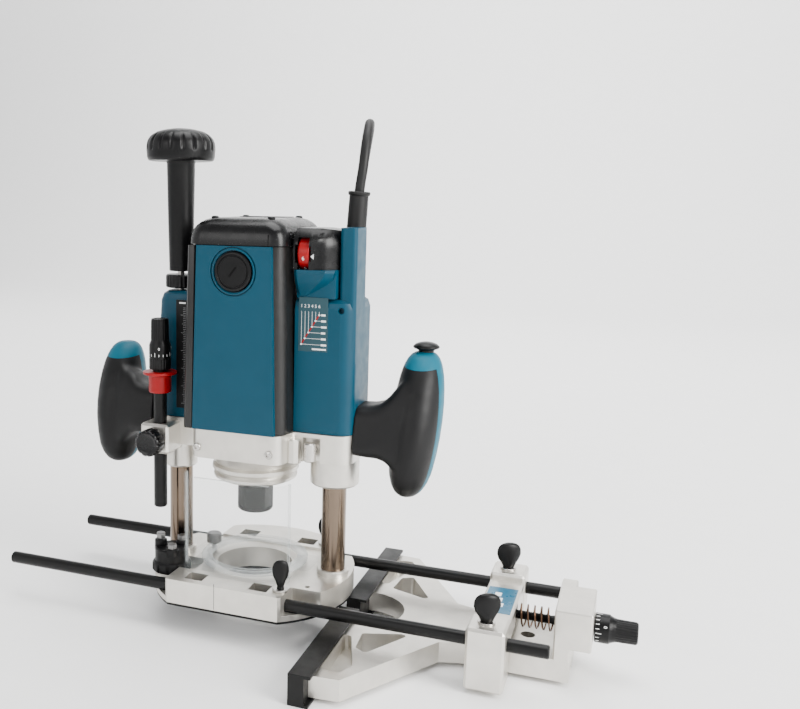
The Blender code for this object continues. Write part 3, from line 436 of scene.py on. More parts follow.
def smooth_path(points, step):
    """Evenly spaced points, in metres, along a Catmull-Rom curve through the given ones."""
    spots = [at(*p) for p in points]
    ends = [spots[0] * 2 - spots[1]] + spots + [spots[-1] * 2 - spots[-2]]
    fine = []
    for p0, p1, p2, p3 in zip(ends, ends[1:], ends[2:], ends[3:]):
        for k in range(20):
            t = k / 20
            a = p1 * 2 + (p2 - p0) * t
            b = (p0 * 2 - p1 * 5 + p2 * 4 - p3) * t * t
            c = (p1 * 3 - p0 - p2 * 3 + p3) * t * t * t
            fine.append((a + b + c) / 2)
    fine.append(spots[-1])
    length = [0.0]
    for p, q in zip(fine, fine[1:]):
        length.append(length[-1] + (q - p).length)
    count = max(2, round(length[-1] / (step * MM)))
    out, k = [], 0
    for i in range(count + 1):
        goal = length[-1] * i / count
        while k < len(length) - 2 and length[k + 1] < goal:
            k += 1
        out.append(fine[k].lerp(fine[k + 1], (goal - length[k]) / (length[k + 1] - length[k])))
    return out


def tube(path, radius, sides=14):
    """A round tube along points in metres, closed at both ends."""
    rings = []
    side = Vector((1, 0, 0))
    for i, p in enumerate(path):
        way = (path[min(i + 1, len(path) - 1)] - path[max(i - 1, 0)]).normalized()
        side = (side - way * side.dot(way)).normalized()
        other = way.cross(side)
        ring = [p + (side * cos(a) + other * sin(a)) * radius * MM for a in around(sides)]
        rings.append(ring)
    return loft(rings)


def digit(name, text, size, body, place, right, up):
    """A raised generic digit or two, as a mesh; right and up are directions."""
    curve = bpy.data.curves.new(name, "FONT")
    curve.body = text
    curve.size = size * MM
    curve.extrude = 0.05 * MM
    curve.align_x = "CENTER"
    curve.align_y = "CENTER"
    curve.resolution_u = 2
    text_obj = placed(name + "_curve", curve)
    mesh = bpy.data.meshes.new_from_object(text_obj)
    bpy.data.objects.remove(text_obj)
    bpy.data.curves.remove(curve)
    right, up = Vector(right).normalized(), Vector(up).normalized()
    turn = Matrix((right, up, right.cross(up))).transposed().to_4x4()
    mesh.transform(Matrix.Translation(at(*place)) @ turn)
    mesh.name = name
    mesh.materials.clear()
    mesh.materials.append(FINISH["white"])
    obj = placed(name, mesh)
    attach(obj, body)


# ---------------- cord

LEAD_ROUTE = [
    (73.6, 20, 243), (74, 20, 250.5), (75.5, 20, 275), (77.2, 20, 303), (79, 20, 333),
    (81.3, 21, 352), (81.5, 27, 371), (80, 39, 384.5), (76.5, 54, 389), (72, 69, 384),
    (66.5, 81, 371), (61, 89, 350), (55.5, 97, 320), (51, 102, 280), (47.5, 105, 230),
    (44.6, 106.4, 180), (42.2, 106.2, 130), (40.4, 104.6, 90), (39.1, 102.2, 60), (38, 99.8, 37),
    (36.4, 97.8, 12.6), (32.6, 94.1, 2.3), (26.7, 88.4, -5.9), (19.3, 81.2, -11.2), (11.15, 73.3, -13),
]
CORD_D = 8.0
COIL_CENTRE = (-25.1, 110.6)
COIL_START = -45.8
COIL_OUTER = 52.0
UPPER_TURNS = 2.5
ALL_TURNS = 6.123
UPPER_Z = -13.0
LOWER_Z = -21.0
PER_TURN = 30
LAYER_SHIFT = 0.3
TAIL = [
    (-33, 49.6, -20.8), (-41, 49.6, -19.0), (-50, 49.6, -15.8), (-58, 49.6, -14.1), (-64, 49.6, -14),
]
PLUG_AT = (-57.7, 49.6, -14.0)
PLUG_SHAPE = (
    (12, 7, 7, 2), (15, 10, 8.5, 3), (20, 15, 10, 4), (26, 16, 10.8, 5), (34, 16, 10.8, 5),
    (39, 15.4, 10.2, 5), (40, 14.6, 9.4, 5),
)


def coil_points():
    """Two layers of turns, a diameter apart: inwards on top, outwards below."""
    out = []
    inner = COIL_OUTER - CORD_D * UPPER_TURNS
    total = round(ALL_TURNS * PER_TURN)
    for i in range(1, total + 1):
        t = ALL_TURNS * i / total
        angle = radians(COIL_START - 360 * t)
        radius = inner + CORD_D * abs(t - UPPER_TURNS)
        drop = min(1.0, max(0.0, (t - UPPER_TURNS + LAYER_SHIFT / 2) / LAYER_SHIFT))
        z = UPPER_Z + (LOWER_Z - UPPER_Z) * drop * drop * (3 - 2 * drop)
        x = COIL_CENTRE[0] + radius * cos(angle)
        out.append((x, COIL_CENTRE[1] + radius * sin(angle), z))
    return out


def make_cord():
    """The free lead with its coil, plug and strain relief."""
    path = smooth_path(LEAD_ROUTE, 6.0) + [at(*p) for p in coil_points() + TAIL]
    cord = piece("power_cord_shown", tube(path, CORD_D / 2), None, "rubber", 60)
    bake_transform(cord)
    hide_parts("power_cord", "cord_coil")
    x, y, z = PLUG_AT
    rings = []
    for along, half_y, half_z, power in PLUG_SHAPE:
        rings.append([at(x - along, y + half_y * squarish(cos(a), power),
                         z + half_z * squarish(sin(a), power)) for a in around(32)])
    body = loft(rings)
    boot = [(0, 0), (5.4, 0), (6.0, 0.6)]
    for k in range(4):
        boot += [(6.0, 2 + 3 * k), (4.9, 2.4 + 3 * k), (4.9, 3.6 + 3 * k), (6.3, 4.2 + 3 * k)]
    boot += [(6.6, 15.5), (0, 15.5)]
    merge(body, aim(lathe(boot, 28), (x, y, z), (-1, 0, 0)))
    plug = piece("plug_body", body, "base", "rubber", 40)
    pins = bmesh.new()
    for side in (-9.5, 9.5):
        pin = [(0, 0), (2.4, 0), (2.4, 16.2), (1.4, 17.6), (0, 17.8)]
        merge(pins, aim(lathe(pin, 16), (x - 39, y + side, z), (-1, 0, 0)))
    metal = piece("plug_pins", pins, "base", "steel", 40)
    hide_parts("mains_plug")
    guard = [(4.6, 0), (8.1, 0), (8.3, 1.0), (8.0, 30), (7.7, 79.0), (8.6, 79.6), (8.9, 80.4),
             (8.9, 81.8), (8.3, 82.5), (4.8, 82.5)]
    bm = aim(lathe(guard, 36), (74.05, 20, 251.2), (79 - 74, 0, 333 - 250.5))
    piece("cord_guard_shown", bm, "motor", "rubber", 40, "cord_guard")


# ---------------- body

def round_corners(x0, x1, y0, y1, radius, count=8):
    """Corner-rounded rectangle as (x, y) points."""
    out = []
    for cx, cy, start in ((x1 - radius, y1 - radius, 0), (x0 + radius, y1 - radius, 90),
                          (x0 + radius, y0 + radius, 180), (x1 - radius, y0 + radius, 270)):
        for k in range(count + 1):
            a = radians(start + 90 * k / count)
            out.append((cx + radius * cos(a), cy + radius * sin(a)))
    return out


def make_top():
    """Glossy top cover with a rounded crown, four nubs and rear vents."""
    foot, crown = span("top_cover", 2)
    half_x, half_y = half("top_cover", 0), half("top_cover", 1)
    rings = []
    for share, inset in ((0.0, 0.0), (0.2, 0.15), (0.4, 0.8), (0.56, 1.9), (0.7, 3.6), (0.82, 6.0),
                         (0.92, 9.2), (0.98, 12.6), (1.0, 16.0)):
        outline = round_corners(inset - half_x, half_x - inset, inset - half_y, half_y - inset, 12)
        rings.append([at(x, y, foot + (crown - foot) * share) for x, y in outline])
    piece("top_cover_shown", loft(rings), "motor", "gloss", angle=30, node="top_cover")
    nub = [(0, 0), (3.0, 0), (3.0, 1.4), (2.2, 2.2), (0, 2.4)]
    nubs = bmesh.new()
    for x in (-24, 24):
        for y in (-31, 31):
            merge(nubs, aim(lathe(nub, 20), (x, y, crown - 1.0)))
    piece("top_nubs", nubs, "motor", "black")
    ribs = bmesh.new()
    for k in range(5):
        merge(ribs, block((-20, 8 + 5 * k, crown - 0.6), (20, 10.2 + 5 * k, crown + 0.5), 0.4))
    piece("top_vent_ribs", ribs, "motor", "black")
    seam = block((half_x - 12.6, -half_y - 0.05, foot + 0.4), (half_x - 12.0, -half_y + 1.0, foot + 8.6),
                 0.1, 1)
    piece("top_seam", seam, "motor", "dark")


def brush_cap(node, side):
    """Screw-in cap: stepped disc with a short coin slot set at a slant."""
    x, z, outer = centre(node, 0), centre(node, 2), half(node, 0)
    face = abs(span(node, 1)[0 if side < 0 else 1])
    profile = [(0, 0), (9.6, 0), (9.6, 10.9), (outer, 10.9), (outer, 14.2), (outer - 0.5, 15.2),
               (outer - 1.3, 15.7), (outer - 2.2, 15.8), (outer - 2.7, 15.0), (outer - 3.5, 15.0),
               (outer - 3.9, 15.7), (0, 15.9)]
    disc = aim(lathe(profile, 56), (x, side * (face - 16.0), z), (0, side, 0))
    piece(node + "_shown", disc, "motor", "knob", angle=28, node=node)
    slant = Matrix.Rotation(radians(38), 4, "Y")
    slot = slab((1.5, 0.5, 9.5), at(x, side * (face - 0.02), z), slant, 0.2)
    piece(node + "_slot", slot, "motor", "dark")
    ring = [(outer + 0.9, 0), (outer + 2.2, 0), (outer + 2.5, 0.9), (outer + 1.6, 1.3), (outer + 0.9, 0.9)]
    lip = aim(lathe(ring, 56), (x, side * (face - 2.2), z), (0, side, 0))
    piece(node + "_lip", lip, "motor", "teal")


def make_dial():
    """Thumb wheel with digits round its rim, seen through the window."""
    x0, x1 = span("speed_dial", 0)
    y, z, radius = centre("speed_dial", 1), centre("speed_dial", 2), half("speed_dial", 2)
    rings = []
    teeth = 60
    for along, scale in ((x0, 0.955), (x0 + 0.5, 0.99), (x0 + 1.2, 1.0), (x1 - 1.2, 1.0),
                         (x1 - 0.5, 0.99), (x1, 0.955)):
        ring = []
        for k in range(teeth * 2):
            a = pi * k / teeth
            r = radius * scale - (0.22 if k % 2 else 0.0)
            ring.append(at(along, y + r * cos(a), z + r * sin(a)))
        rings.append(ring)
    piece("speed_dial_shown", loft(rings), "speed_wheel", "red", 50, "speed_dial")
    for k in range(6):
        a = radians(-163 - 46 * (k - 5))
        out = Vector((0, cos(a), sin(a)))
        up = Vector((0, sin(a), -cos(a)))
        place = ((x0 + x1) / 2, y + (radius + 0.02) * out.y, z + (radius + 0.02) * out.z)
        digit("dial_digit_%d" % (k + 1), str(k + 1), 4.6, "speed_wheel", place, (1, 0, 0), up)


CHART_X, CHART_DX = 48, 2.9
CHART_Z, CHART_DZ = 214.5, 4.7


def make_speed_chart():
    """Plain chart beside the dial: digits, grid, a rising red line, no words."""
    y = span("right_shell", 1)[0]
    panel = block((45.5, y - 0.12, 209), (69.5, y + 0.2, 251.5), 0.1, 1)
    piece("chart_panel", panel, "motor", "panel")
    lines = bmesh.new()
    for k in range(6):
        x, z = CHART_X + CHART_DX * k, CHART_Z + CHART_DZ * k
        right = 68.6 - 0.5 * (k % 3)
        merge(lines, block((x - 0.12, y - 0.2, 214 + 4.6 * k), (x + 0.12, y - 0.1, 240.5), 0))
        merge(lines, block((x, y - 0.2, z - 0.12), (64, y - 0.1, z + 0.12), 0))
        merge(lines, block((64.2, y - 0.22, z - 0.75), (right, y - 0.1, z + 0.75), 0))
    merge(lines, block((57, y - 0.22, 210.4), (68.4, y - 0.1, 211.6), 0))
    piece("chart_lines", lines, "motor", "white")
    slope = bmesh.new()
    rise = Matrix.Rotation(-radians(58.3), 4, "Y")
    for k in range(5):
        x, z = CHART_X + CHART_DX * k, CHART_Z + CHART_DZ * k
        merge(slope, slab((3.9, 0.12, 1.15), at(x + 1.45, y - 0.3, z + 2.35), rise))
    piece("chart_slope", slope, "motor", "red")
    dots = bmesh.new()
    dot = [(0, 0), (0.75, 0), (0.75, 0.3), (0, 0.3)]
    for k in range(6):
        spot = (CHART_X + CHART_DX * k, y - 0.1, CHART_Z + CHART_DZ * k)
        merge(dots, aim(lathe(dot, 12), spot, (0, -1, 0)))
    piece("chart_dots", dots, "motor", "white")
    for k in range(6):
        digit("chart_digit_%d" % (k + 1), str(k + 1), 3.6, "motor",
              (CHART_X + CHART_DX * k, y - 0.15, 244.6), (1, 0, 0), (0, 0, 1))


def make_scale():
    """Graduations on the depth scale's plate, with a plain bar above them."""
    (x0, x1), y, (z0, z1) = span("depth_scale", 0), span("depth_scale", 1)[0], span("depth_scale", 2)
    marks = bmesh.new()
    margin, pitch = 4, 1.5
    for k in range(int((z1 - z0 - 2 * margin) / pitch)):
        z = z0 + margin + pitch * k
        long = 4.6 if k % 10 == 0 else 3.6 if k % 5 == 0 else 2.4
        mark = block((x1 - 1.0 - long, y - 0.08, z - 0.1), (x1 - 1.0, y + 0.05, z + 0.1), 0)
        merge(marks, mark)
    piece("scale_marks", marks, "motor", "faint")
    flag = block((x0 + 3.0, y - 0.12, z1 - 3.0), (x1 - 1.0, y + 0.05, z1 - 1.8), 0)
    piece("scale_flag", flag, "motor", "white")


def screw_head(place, axis, radius, body, name, surface="screw"):
    """Pan head with a round socket."""
    profile = [(0, 0), (radius, 0), (radius, radius * 0.25), (radius * 0.86, radius * 0.48),
               (radius * 0.5, radius * 0.6), (radius * 0.46, radius * 0.2), (0, radius * 0.2)]
    piece(name, aim(lathe(profile, 24), place, axis), body, surface)


def make_fasteners():
    for name, x in (("bracket_screw_right", 31), ("bracket_screw_left", -31)):
        screw_head((x, -49.1, 128.5), (0, -1, 0), 3.4, "motor", name, "steel")
    for name, x, z in (("cover_screw_low", 82, 156), ("cover_screw_high", 82, 238),
                       ("rear_screw_1", -82, 156), ("rear_screw_2", -82, 238)):
        screw_head((x, 32.1, z), (0, 1, 0), 3.2, "motor", name)
    head = [(0, 0), (3.6, 0), (3.6, 0.4), (2.4, 0.5), (2.2, -0.4), (0, -0.4)]
    for k, (x, y) in enumerate(((-22, -36), (22, -36), (-22, 40), (22, 40))):
        bm = aim(lathe(head, 20), (x, y, -0.1), (0, 0, -1))
        piece("sole_screw_%d" % (k + 1), bm, "base", "screw")


# ---------------- stand

GROOVE_FOOT = 27.55
GROOVE_HALF = 3.6


def make_columns():
    """Ground columns: the left one has a long milled groove, turned towards the camera's place."""
    for node, groove in (("left_column", True), ("right_column", False)):
        x, y, radius = centre(node, 0), centre(node, 1), half(node, 0)
        z0, z1 = span(node, 2)
        face = atan2(CAMERA_PLACE[1] - y, CAMERA_PLACE[0] - x)
        rings = []
        for z, inset in ((z0, 0.7), (z0 + 0.8, 0), (GROOVE_FOOT - 0.05, 0), (GROOVE_FOOT + 0.05, 0),
                         (z1 - 1.2, 0), (z1, 1.0)):
            ring = []
            for turn in around(72):
                a = turn + face
                off = (a - face + pi) % (2 * pi) - pi
                r = radius - inset
                across = r * sin(off)
                if groove and z > GROOVE_FOOT and abs(across) < GROOVE_HALF and abs(off) < 1.2:
                    r = min(r, (radius - 2.0) / max(0.2, cos(off)))
                ring.append(at(x + r * cos(a), y + r * sin(a), z))
            rings.append(ring)
        piece(node + "_shown", loft(rings), "base", "column", 30, node)


def make_column_springs():
    """The springs in the columns, copied from the CAD nodes and tied to no body, so they stay where they
    are.
    """
    for node in ("left_column_spring", "right_column_spring"):
        bm = bmesh.new()
        bm.from_mesh(NODES[node].data)
        spring = piece(node + "_shown", bm, None, "spring", 40, node)
        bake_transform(spring)


def make_base_marks():
    """The joint line on the front rod block."""
    front = span("base_casting", 1)[0]
    seam = block((-6.3, front - 0.06, 3.0), (-5.9, front + 0.1, 24.2), 0)
    piece("base_seam", seam, "base", "dark")


def make_washers():
    ring = [(3.2, 0), (6.2, 0), (6.4, 0.3), (6.4, 1.6), (6.0, 2.0), (3.2, 2.0)]
    for node, body in (("rod_clamp_front", "base"), ("rod_clamp_rear", "base"),
                       ("holder_screw_front", "carriage"), ("holder_screw_rear", "carriage")):
        x, y = centre(node, 0), centre(node, 1)
        top = BASE_TOP if body == "base" else span("guide_holder", 2)[1] - 0.6
        piece(node + "_washer", aim(lathe(ring, 32), (x, y, top)), body, "steel")


def make_wing_knob(node):
    """A clamp knob: a flattened wing on a round neck, smoothly blended."""
    x, y, radius = centre(node, 0), centre(node, 1), half(node, 0)
    z0, z1 = span(node, 2)
    head = z0 + 10
    tall = z1 - head
    rings = []
    profile = ((0.0, 0.42, 0.42), (0.08, 0.5, 0.5), (0.2, 0.62, 0.5), (0.36, 0.86, 0.44), (0.55, 1.0, 0.38),
               (0.74, 0.98, 0.34), (0.88, 0.84, 0.3), (0.96, 0.62, 0.24), (1.0, 0.34, 0.14))
    c, s = cos(radians(28)), sin(radians(28))
    for share, wide, thick in profile:
        ring = []
        for a in around(40):
            px, py = radius * wide * cos(a), radius * thick * sin(a)
            px *= 1 - 0.10 * sin(a) ** 2
            ring.append(at(x + px * c - py * s, y + px * s + py * c, head + tall * share))
        rings.append(ring)
    stud = [(0, 0), (2.8, 0), (2.8, head + 1.0 - z0), (0, head + 1.0 - z0)]
    bm = merge(loft(rings), aim(lathe(stud, 20), (x, y, z0)))
    piece(node + "_shown", bm, NODES[node]["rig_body"], "knob", 45, node)


def make_height_knob():
    """Domed knob with moulded finger flutes on its tube, and the ribbed nut under it."""
    x, y, radius = centre("height_knob", 0), centre("height_knob", 1), half("height_knob", 0)
    foot, top = span("height_knob", 2)
    rings = []
    lobes, per = 18, 12
    levels = ((-27, 0.86, 0), (-26.6, 0.93, 0), (-25.6, 0.965, 0), (-23.5, 0.985, 0), (-19.5, 0.995, 0),
              (-18.6, 1.0, 0.1), (-17.4, 1.0, 0.8), (-15, 1.0, 1), (-12, 0.985, 1), (-9.4, 0.95, 1),
              (-7.0, 0.89, 0.9), (-5.2, 0.82, 0.5), (-4.2, 0.76, 0.12), (-3.2, 0.70, 0), (-2.0, 0.57, 0),
              (-1.0, 0.42, 0), (-0.3, 0.24, 0), (0, 0.06, 0))
    for dz, scale, flute in levels:
        ring = []
        for a in around(lobes * per):
            dip = 1.3 * flute * max(0.0, cos(lobes * a)) ** 3
            r = radius * scale - dip
            ring.append(at(x + r * cos(a), y + r * sin(a), top + dz))
        rings.append(ring)
    stem = [(3.4, 0), (9.6, 0), (10.1, 0.5), (10.9, 40), (11.8, top - 29 - foot),
            (12.8, top - 26 - foot), (3.4, top - 26 - foot)]
    bm = merge(loft(rings), aim(lathe(stem, 56), (x, y, foot)))
    piece("height_knob_shown", bm, "top_knob", "knob", angle=32, node="height_knob")
    z0, z1 = span("upper_stop_nut", 2)
    outer = half("upper_stop_nut", 0)
    rings = []
    for z, inset, tooth in ((z0, 1.0, 0), (z0 + 0.8, 0.1, 0), (z0 + 1.4, 0.0, 1),
                            (z1 - 1.4, 0.0, 1), (z1 - 0.8, 0.1, 0), (z1, 1.0, 0)):
        ring = []
        for k in range(96):
            a = 2 * pi * k / 96
            r = outer - inset - (0.55 * tooth if k % 4 < 2 else 0)
            ring.append(at(x + r * cos(a), y + r * sin(a), z))
        rings.append(ring)
    piece("upper_stop_nut_shown", loft(rings), "stop_nut", "knob", node="upper_stop_nut")


def ribbed(name, node, profile, teeth, bands, body, place, axis):
    """A turned part with straight knurling in the height bands given."""
    sides, depth = 96, 0.35
    rings = []
    for r, z in profile:
        cuts = depth if any(lo <= z <= hi for lo, hi in bands) else 0
        ring = []
        for k, a in enumerate(around(sides)):
            reach = r - cuts if k * teeth * 2 // sides % 2 else r
            ring.append(Vector((reach * cos(a) * MM, reach * sin(a) * MM, z * MM)))
        rings.append(ring)
    piece(name, aim(loft(rings), place, axis), body, "knob", angle=32, node=node)


def make_stop_knobs():
    """Fine-adjust knob on the pole, and the fluted thumb nut that clamps the pole."""
    x, y = centre("fine_adjust_knob", 0), centre("fine_adjust_knob", 1)
    z0, z1 = span("fine_adjust_knob", 2)
    profile = [(6.2, 0.0), (8.6, 0.0), (9.0, 0.6), (9.0, 9.0), (8.7, 9.2), (8.7, 9.8), (9.0, 10.0),
               (9.0, 20.4), (8.5, 21.6), (7.7, 23.6), (7.5, 24.2), (7.5, 25), (7.3, 40.6), (6.7, 42.0),
               (5.2, 42.2), (4.9, 41.6), (0.2, 41.6)]
    profile = [(r, min(z, z1 - z0)) for r, z in profile]
    ribbed("fine_knob_shown", "fine_adjust_knob", profile, 24, ((0.6, 9.0), (25, 40.6)), "fine_knob",
           (x, y, z0), (0, 0, 1))
    marks = bmesh.new()
    for k, a in enumerate(around(16)):
        long = 3.4 if k % 4 == 0 else 2.0
        place = at(x + 9.0 * cos(a), y + 9.0 * sin(a), z0 + 11 + long / 2)
        merge(marks, slab((0.12, 0.4, long), place, Matrix.Rotation(a, 4, "Z")))
    piece("fine_knob_marks", marks, "fine_knob", "white")
    for k in range(4):
        a = radians(-67 + 90 * k)
        c, s = cos(a), sin(a)
        digit("fine_digit_%d" % k, str(k * 2), 3.4, "fine_knob", (x + 9.02 * c, y + 9.02 * s, z0 + 17.4),
              (-s, c, 0), (0, 0, 1))
    x, z, radius = centre("stop_pole_nut", 0), centre("stop_pole_nut", 2), half("stop_pole_nut", 2)
    front = span("stop_pole_nut", 1)[0]
    rings = []
    for along, scale, flute in ((-14.0, 0.9, 0), (-13.2, 0.95, 0.5), (-12, 0.98, 1), (-4, 0.98, 1),
                                (-2, 0.95, 1), (-0.8, 0.86, 0.4), (-0.3, 0.78, 0), (-0.9, 0.66, 0),
                                (-1.3, 0.5, 0), (-1.3, 0.1, 0)):
        ring = []
        for a in around(120):
            r = radius * scale - 0.9 * flute * max(0, cos(12 * a)) ** 2
            ring.append(at(x + r * cos(a), front - along - 0.3, z + r * sin(a)))
        rings.append(ring)
    stud = aim(lathe([(0, 0), (2.8, 0), (2.8, 6.6), (0, 6.6)], 18), (x, front + 13.5, z), (0, 1, 0))
    piece("stop_pole_nut_shown", merge(loft(rings), stud), "pole_clamp", "gloss", node="stop_pole_nut")


def make_micro_dial():
    """The guide's adjuster: a threaded stem, a graduated collar and a knurled end."""
    x0, x1 = span("micro_adjuster", 0)
    y, z = centre("micro_adjuster", 1), centre("micro_adjuster", 2)
    end = x1 - x0
    profile = [(0.2, 0), (3.0, 0), (3.5, 0.5)]
    for k in range(31):
        profile += [(3.55, 1.0 + 1.25 * k), (3.05, 1.6 + 1.25 * k)]
    profile += [(3.5, 42.0), (3.5, 71.4), (10.4, 71.4), (10.9, 72.0), (10.9, 81.6), (10.2, 82.4),
                (9.2, 84.6), (8.8, 86), (8.5, 87), (8.3, end - 1.6), (7.6, end - 0.4), (6.4, end),
                (5.8, end - 0.6), (0.2, end - 0.6)]
    ribbed("micro_dial_shown", "micro_adjuster", profile, 26, ((87, end - 1.6),), "guide_dial",
           (x0, y, z), (1, 0, 0))
    marks = bmesh.new()
    for k, a in enumerate(around(20)):
        long = 4.2 if k % 5 == 0 else 2.6
        place = at(x0 + 72.2 + long / 2, y - 10.9 * sin(a), z + 10.9 * cos(a))
        merge(marks, slab((long, 0.45, 0.12), place, Matrix.Rotation(a, 4, "X")))
    piece("micro_dial_marks", marks, "guide_dial", "white")
    for k in range(4):
        a = radians(62 + 90 * k)
        out = Vector((0, -sin(a), cos(a)))
        place = (x0 + 79.2, y + 10.92 * out.y, z + 10.92 * out.z)
        digit("micro_digit_%d" % k, str((4 - k) % 4 * 5), 3.6, "guide_dial", place,
              (0, -out.z, out.y), (-1, 0, 0))


def make_holder_sticker():
    x = centre("guide_holder", 0)
    sticker = block((x - 11.3, -25, 19.95), (x + 11.3, 25, 20.15), 0.05, 1)
    piece("holder_sticker", sticker, "carriage", "sticker")
    bar = bmesh.new()
    for k in range(3):
        y = -13 + 10 * k
        merge(bar, block((x - 5.0, y, 20.1), (x + 4.0 - 2.0 * k, y + 7, 20.25), 0.05, 1))
    piece("holder_sticker_bars", bar, "carriage", "white")


def make_shield():
    """Clear shield; lighter, more opaque strips on its top and side edges are painted highlights, and its
    thick ring foot round the cutter is tinted the same way as a painted highlight.
    """
    refined("chip_deflector", "clear", 0.5, 35)
    side, y, top = 46.4, span("chip_deflector", 1)[0], span("chip_deflector", 2)[1]
    # Strips along the top and side edges in the lighter clear finish: painted highlight lines.
    edge = block((-side + 14, y + 0.1, top - 0.5), (side - 14, y + 1.9, top + 0.1), 0.1, 1)
    merge(edge, block((side - 1.9, -39.8, 26), (side - 0.1, -38.4, top), 0.1, 1))
    merge(edge, block((-side + 0.1, -39.8, 26), (-side + 1.9, -38.4, top), 0.1, 1))
    piece("shield_painted_highlights", edge, "base", "clear_painted_highlight")
    # The ring foot in the lighter clear finish: a real ring shape whose brightness is a painted highlight.
    ring = [(36.6, 0), (45.0, 0), (45.4, 0.4), (45.4, 3.2), (44.6, 4.0), (42.6, 4.2), (42.0, 3.2),
            (39.6, 3.2), (39.0, 4.0), (37.2, 4.0), (36.6, 3.4)]
    piece("shield_ring", aim(lathe(ring, 72), (0, 0, 23.2)), "base", "clear_painted_highlight", 30)


def make_turret_sleeves():
    for k, (x, y, top) in enumerate(((-73.6, -32, 39.5), (-58.1, -23, 37), (-58.1, -41, 36))):
        sleeve = [(2.4, 0), (5.2, 0), (5.4, 0.4), (5.2, top - 30.6), (4.4, top - 30.0), (2.4, top - 30.0)]
        bm = aim(lathe(sleeve, 28), (x, y, 30))
        piece("turret_sleeve_%d" % (k + 1), bm, "turret", "black")


def make_corner_strips():
    """Black housing corners beside the covers' left edges, wider towards the foot."""
    for word, flip in (("front", -1), ("rear", 1)):
        rings = []
        for z, outer, inner in ((143.6, 43.4, 35.6), (290.6, 39.2, 33.0)):
            outline = [(inner, 50.4), (outer - 1.8, 50.4), (outer, 48.6), (outer, 30.0), (inner, 30.0)]
            rings.append([at(-x, flip * y, z) for x, y in outline])
        bm = loft(rings)
        bmesh.ops.bevel(bm, geom=bm.edges[:], offset=0.6 * MM, segments=2, profile=ROUNDNESS,
                        affect="EDGES")
        piece("corner_strip_" + word, bm, "motor", "strip")


def make_dial_housing():
    """Glossy hood over the dial, leaning back at the top, on a teal wedge."""
    split = 273.4
    bm = cad_form("dial_housing")
    cuts = [((0, 0, z), (0, 0, 1)) for z in (277, 281, 285, 289, 292, 294.5, 297, 299, 301, 303)]
    cuts += [((x, 0, 280), (1, 0, 0)) for x in (46, 58, 61, 64, 67, 69.5, 72, 74)]
    for spot, normal in cuts:
        sliced(bm, at(*spot), normal)
    foot = sliced(bm, at(0, 0, split), (0, 0, 1), clear_inner=True)
    rim = [e for e in foot["geom_cut"] if isinstance(e, bmesh.types.BMEdge)]
    bmesh.ops.holes_fill(bm, edges=rim, sides=0)
    for vert in bm.verts:
        x, y, z = ((vert.co[i] - ORIGIN[i]) / MM for i in range(3))
        front = min(1.0, max(0.0, (-y - 6) / 12))
        lean = 8.5 * max(0.0, (z - 292) / 13) ** 1.7
        side = 7.0 * max(0.0, (x - 66) / 10) ** 1.5
        drop = 2.2 * max(0.0, (x - 60) / 16) ** 1.5 * max(0.0, (z - 296) / 9)
        vert.co.y += (lean + side) * front * MM
        vert.co.z -= drop * MM
    piece("dial_hood", bm, "motor", "gloss", angle=34, node="dial_housing")
    rings = []
    for z, front, right in ((split - 0.2, -33.6, 75.4), (271, -33.8, 75.0), (266, -32.4, 72.4),
                           (261, -29.8, 67.5), (256, -26.8, 61.5), (252.5, -24.8, 57.0)):
        chamfer = 6.0
        outline = [(43.2, -20), (43.2, front + 3), (46.2, front), (right - chamfer, front),
                   (right, front + chamfer), (right, -20)]
        rings.append([at(x, y, z) for x, y in outline])
    wedge = merge(loft(rings), block((43.2, -24.4, 250.5), (75.4, 9.3, split - 0.1), 1.2))
    piece("dial_wedge", wedge, "motor", "teal", 20)
    arrow = bmesh.new()
    corners = ((57.6, -34.12, 283.6), (60.0, -34.12, 285.6), (60.0, -34.12, 281.6))
    arrow.faces.new([arrow.verts.new(at(*p)) for p in corners])
    back = bmesh.ops.extrude_face_region(arrow, geom=arrow.faces[:])
    verts = [v for v in back["geom"] if isinstance(v, bmesh.types.BMVert)]
    bmesh.ops.translate(arrow, vec=(0, 0.3 * MM, 0), verts=verts)
    piece("dial_arrow", arrow, "motor", "white")


GRIP_FOOT = (129.5, 5.5, 93.0)
GRIP_HEAD = (135.0, 27.0, 206.0)
CAP_LINE = 192.5
GRIP_SHIFT = {-1: (3.5, -8.0), 1: (0.0, 1.5)}
GRIP_ENDS = (
    (0.0, 0.3), (0.012, 0.55), (0.04, 0.78), (0.09, 0.93), (0.16, 1.0), (0.28, 1.0), (0.4, 1.0),
    (0.52, 1.0), (0.64, 1.0), (0.75, 1.0), (0.84, 0.985), (0.91, 0.93), (0.955, 0.83), (0.985, 0.66),
    (1.0, 0.4),
)
NECK_END = 113


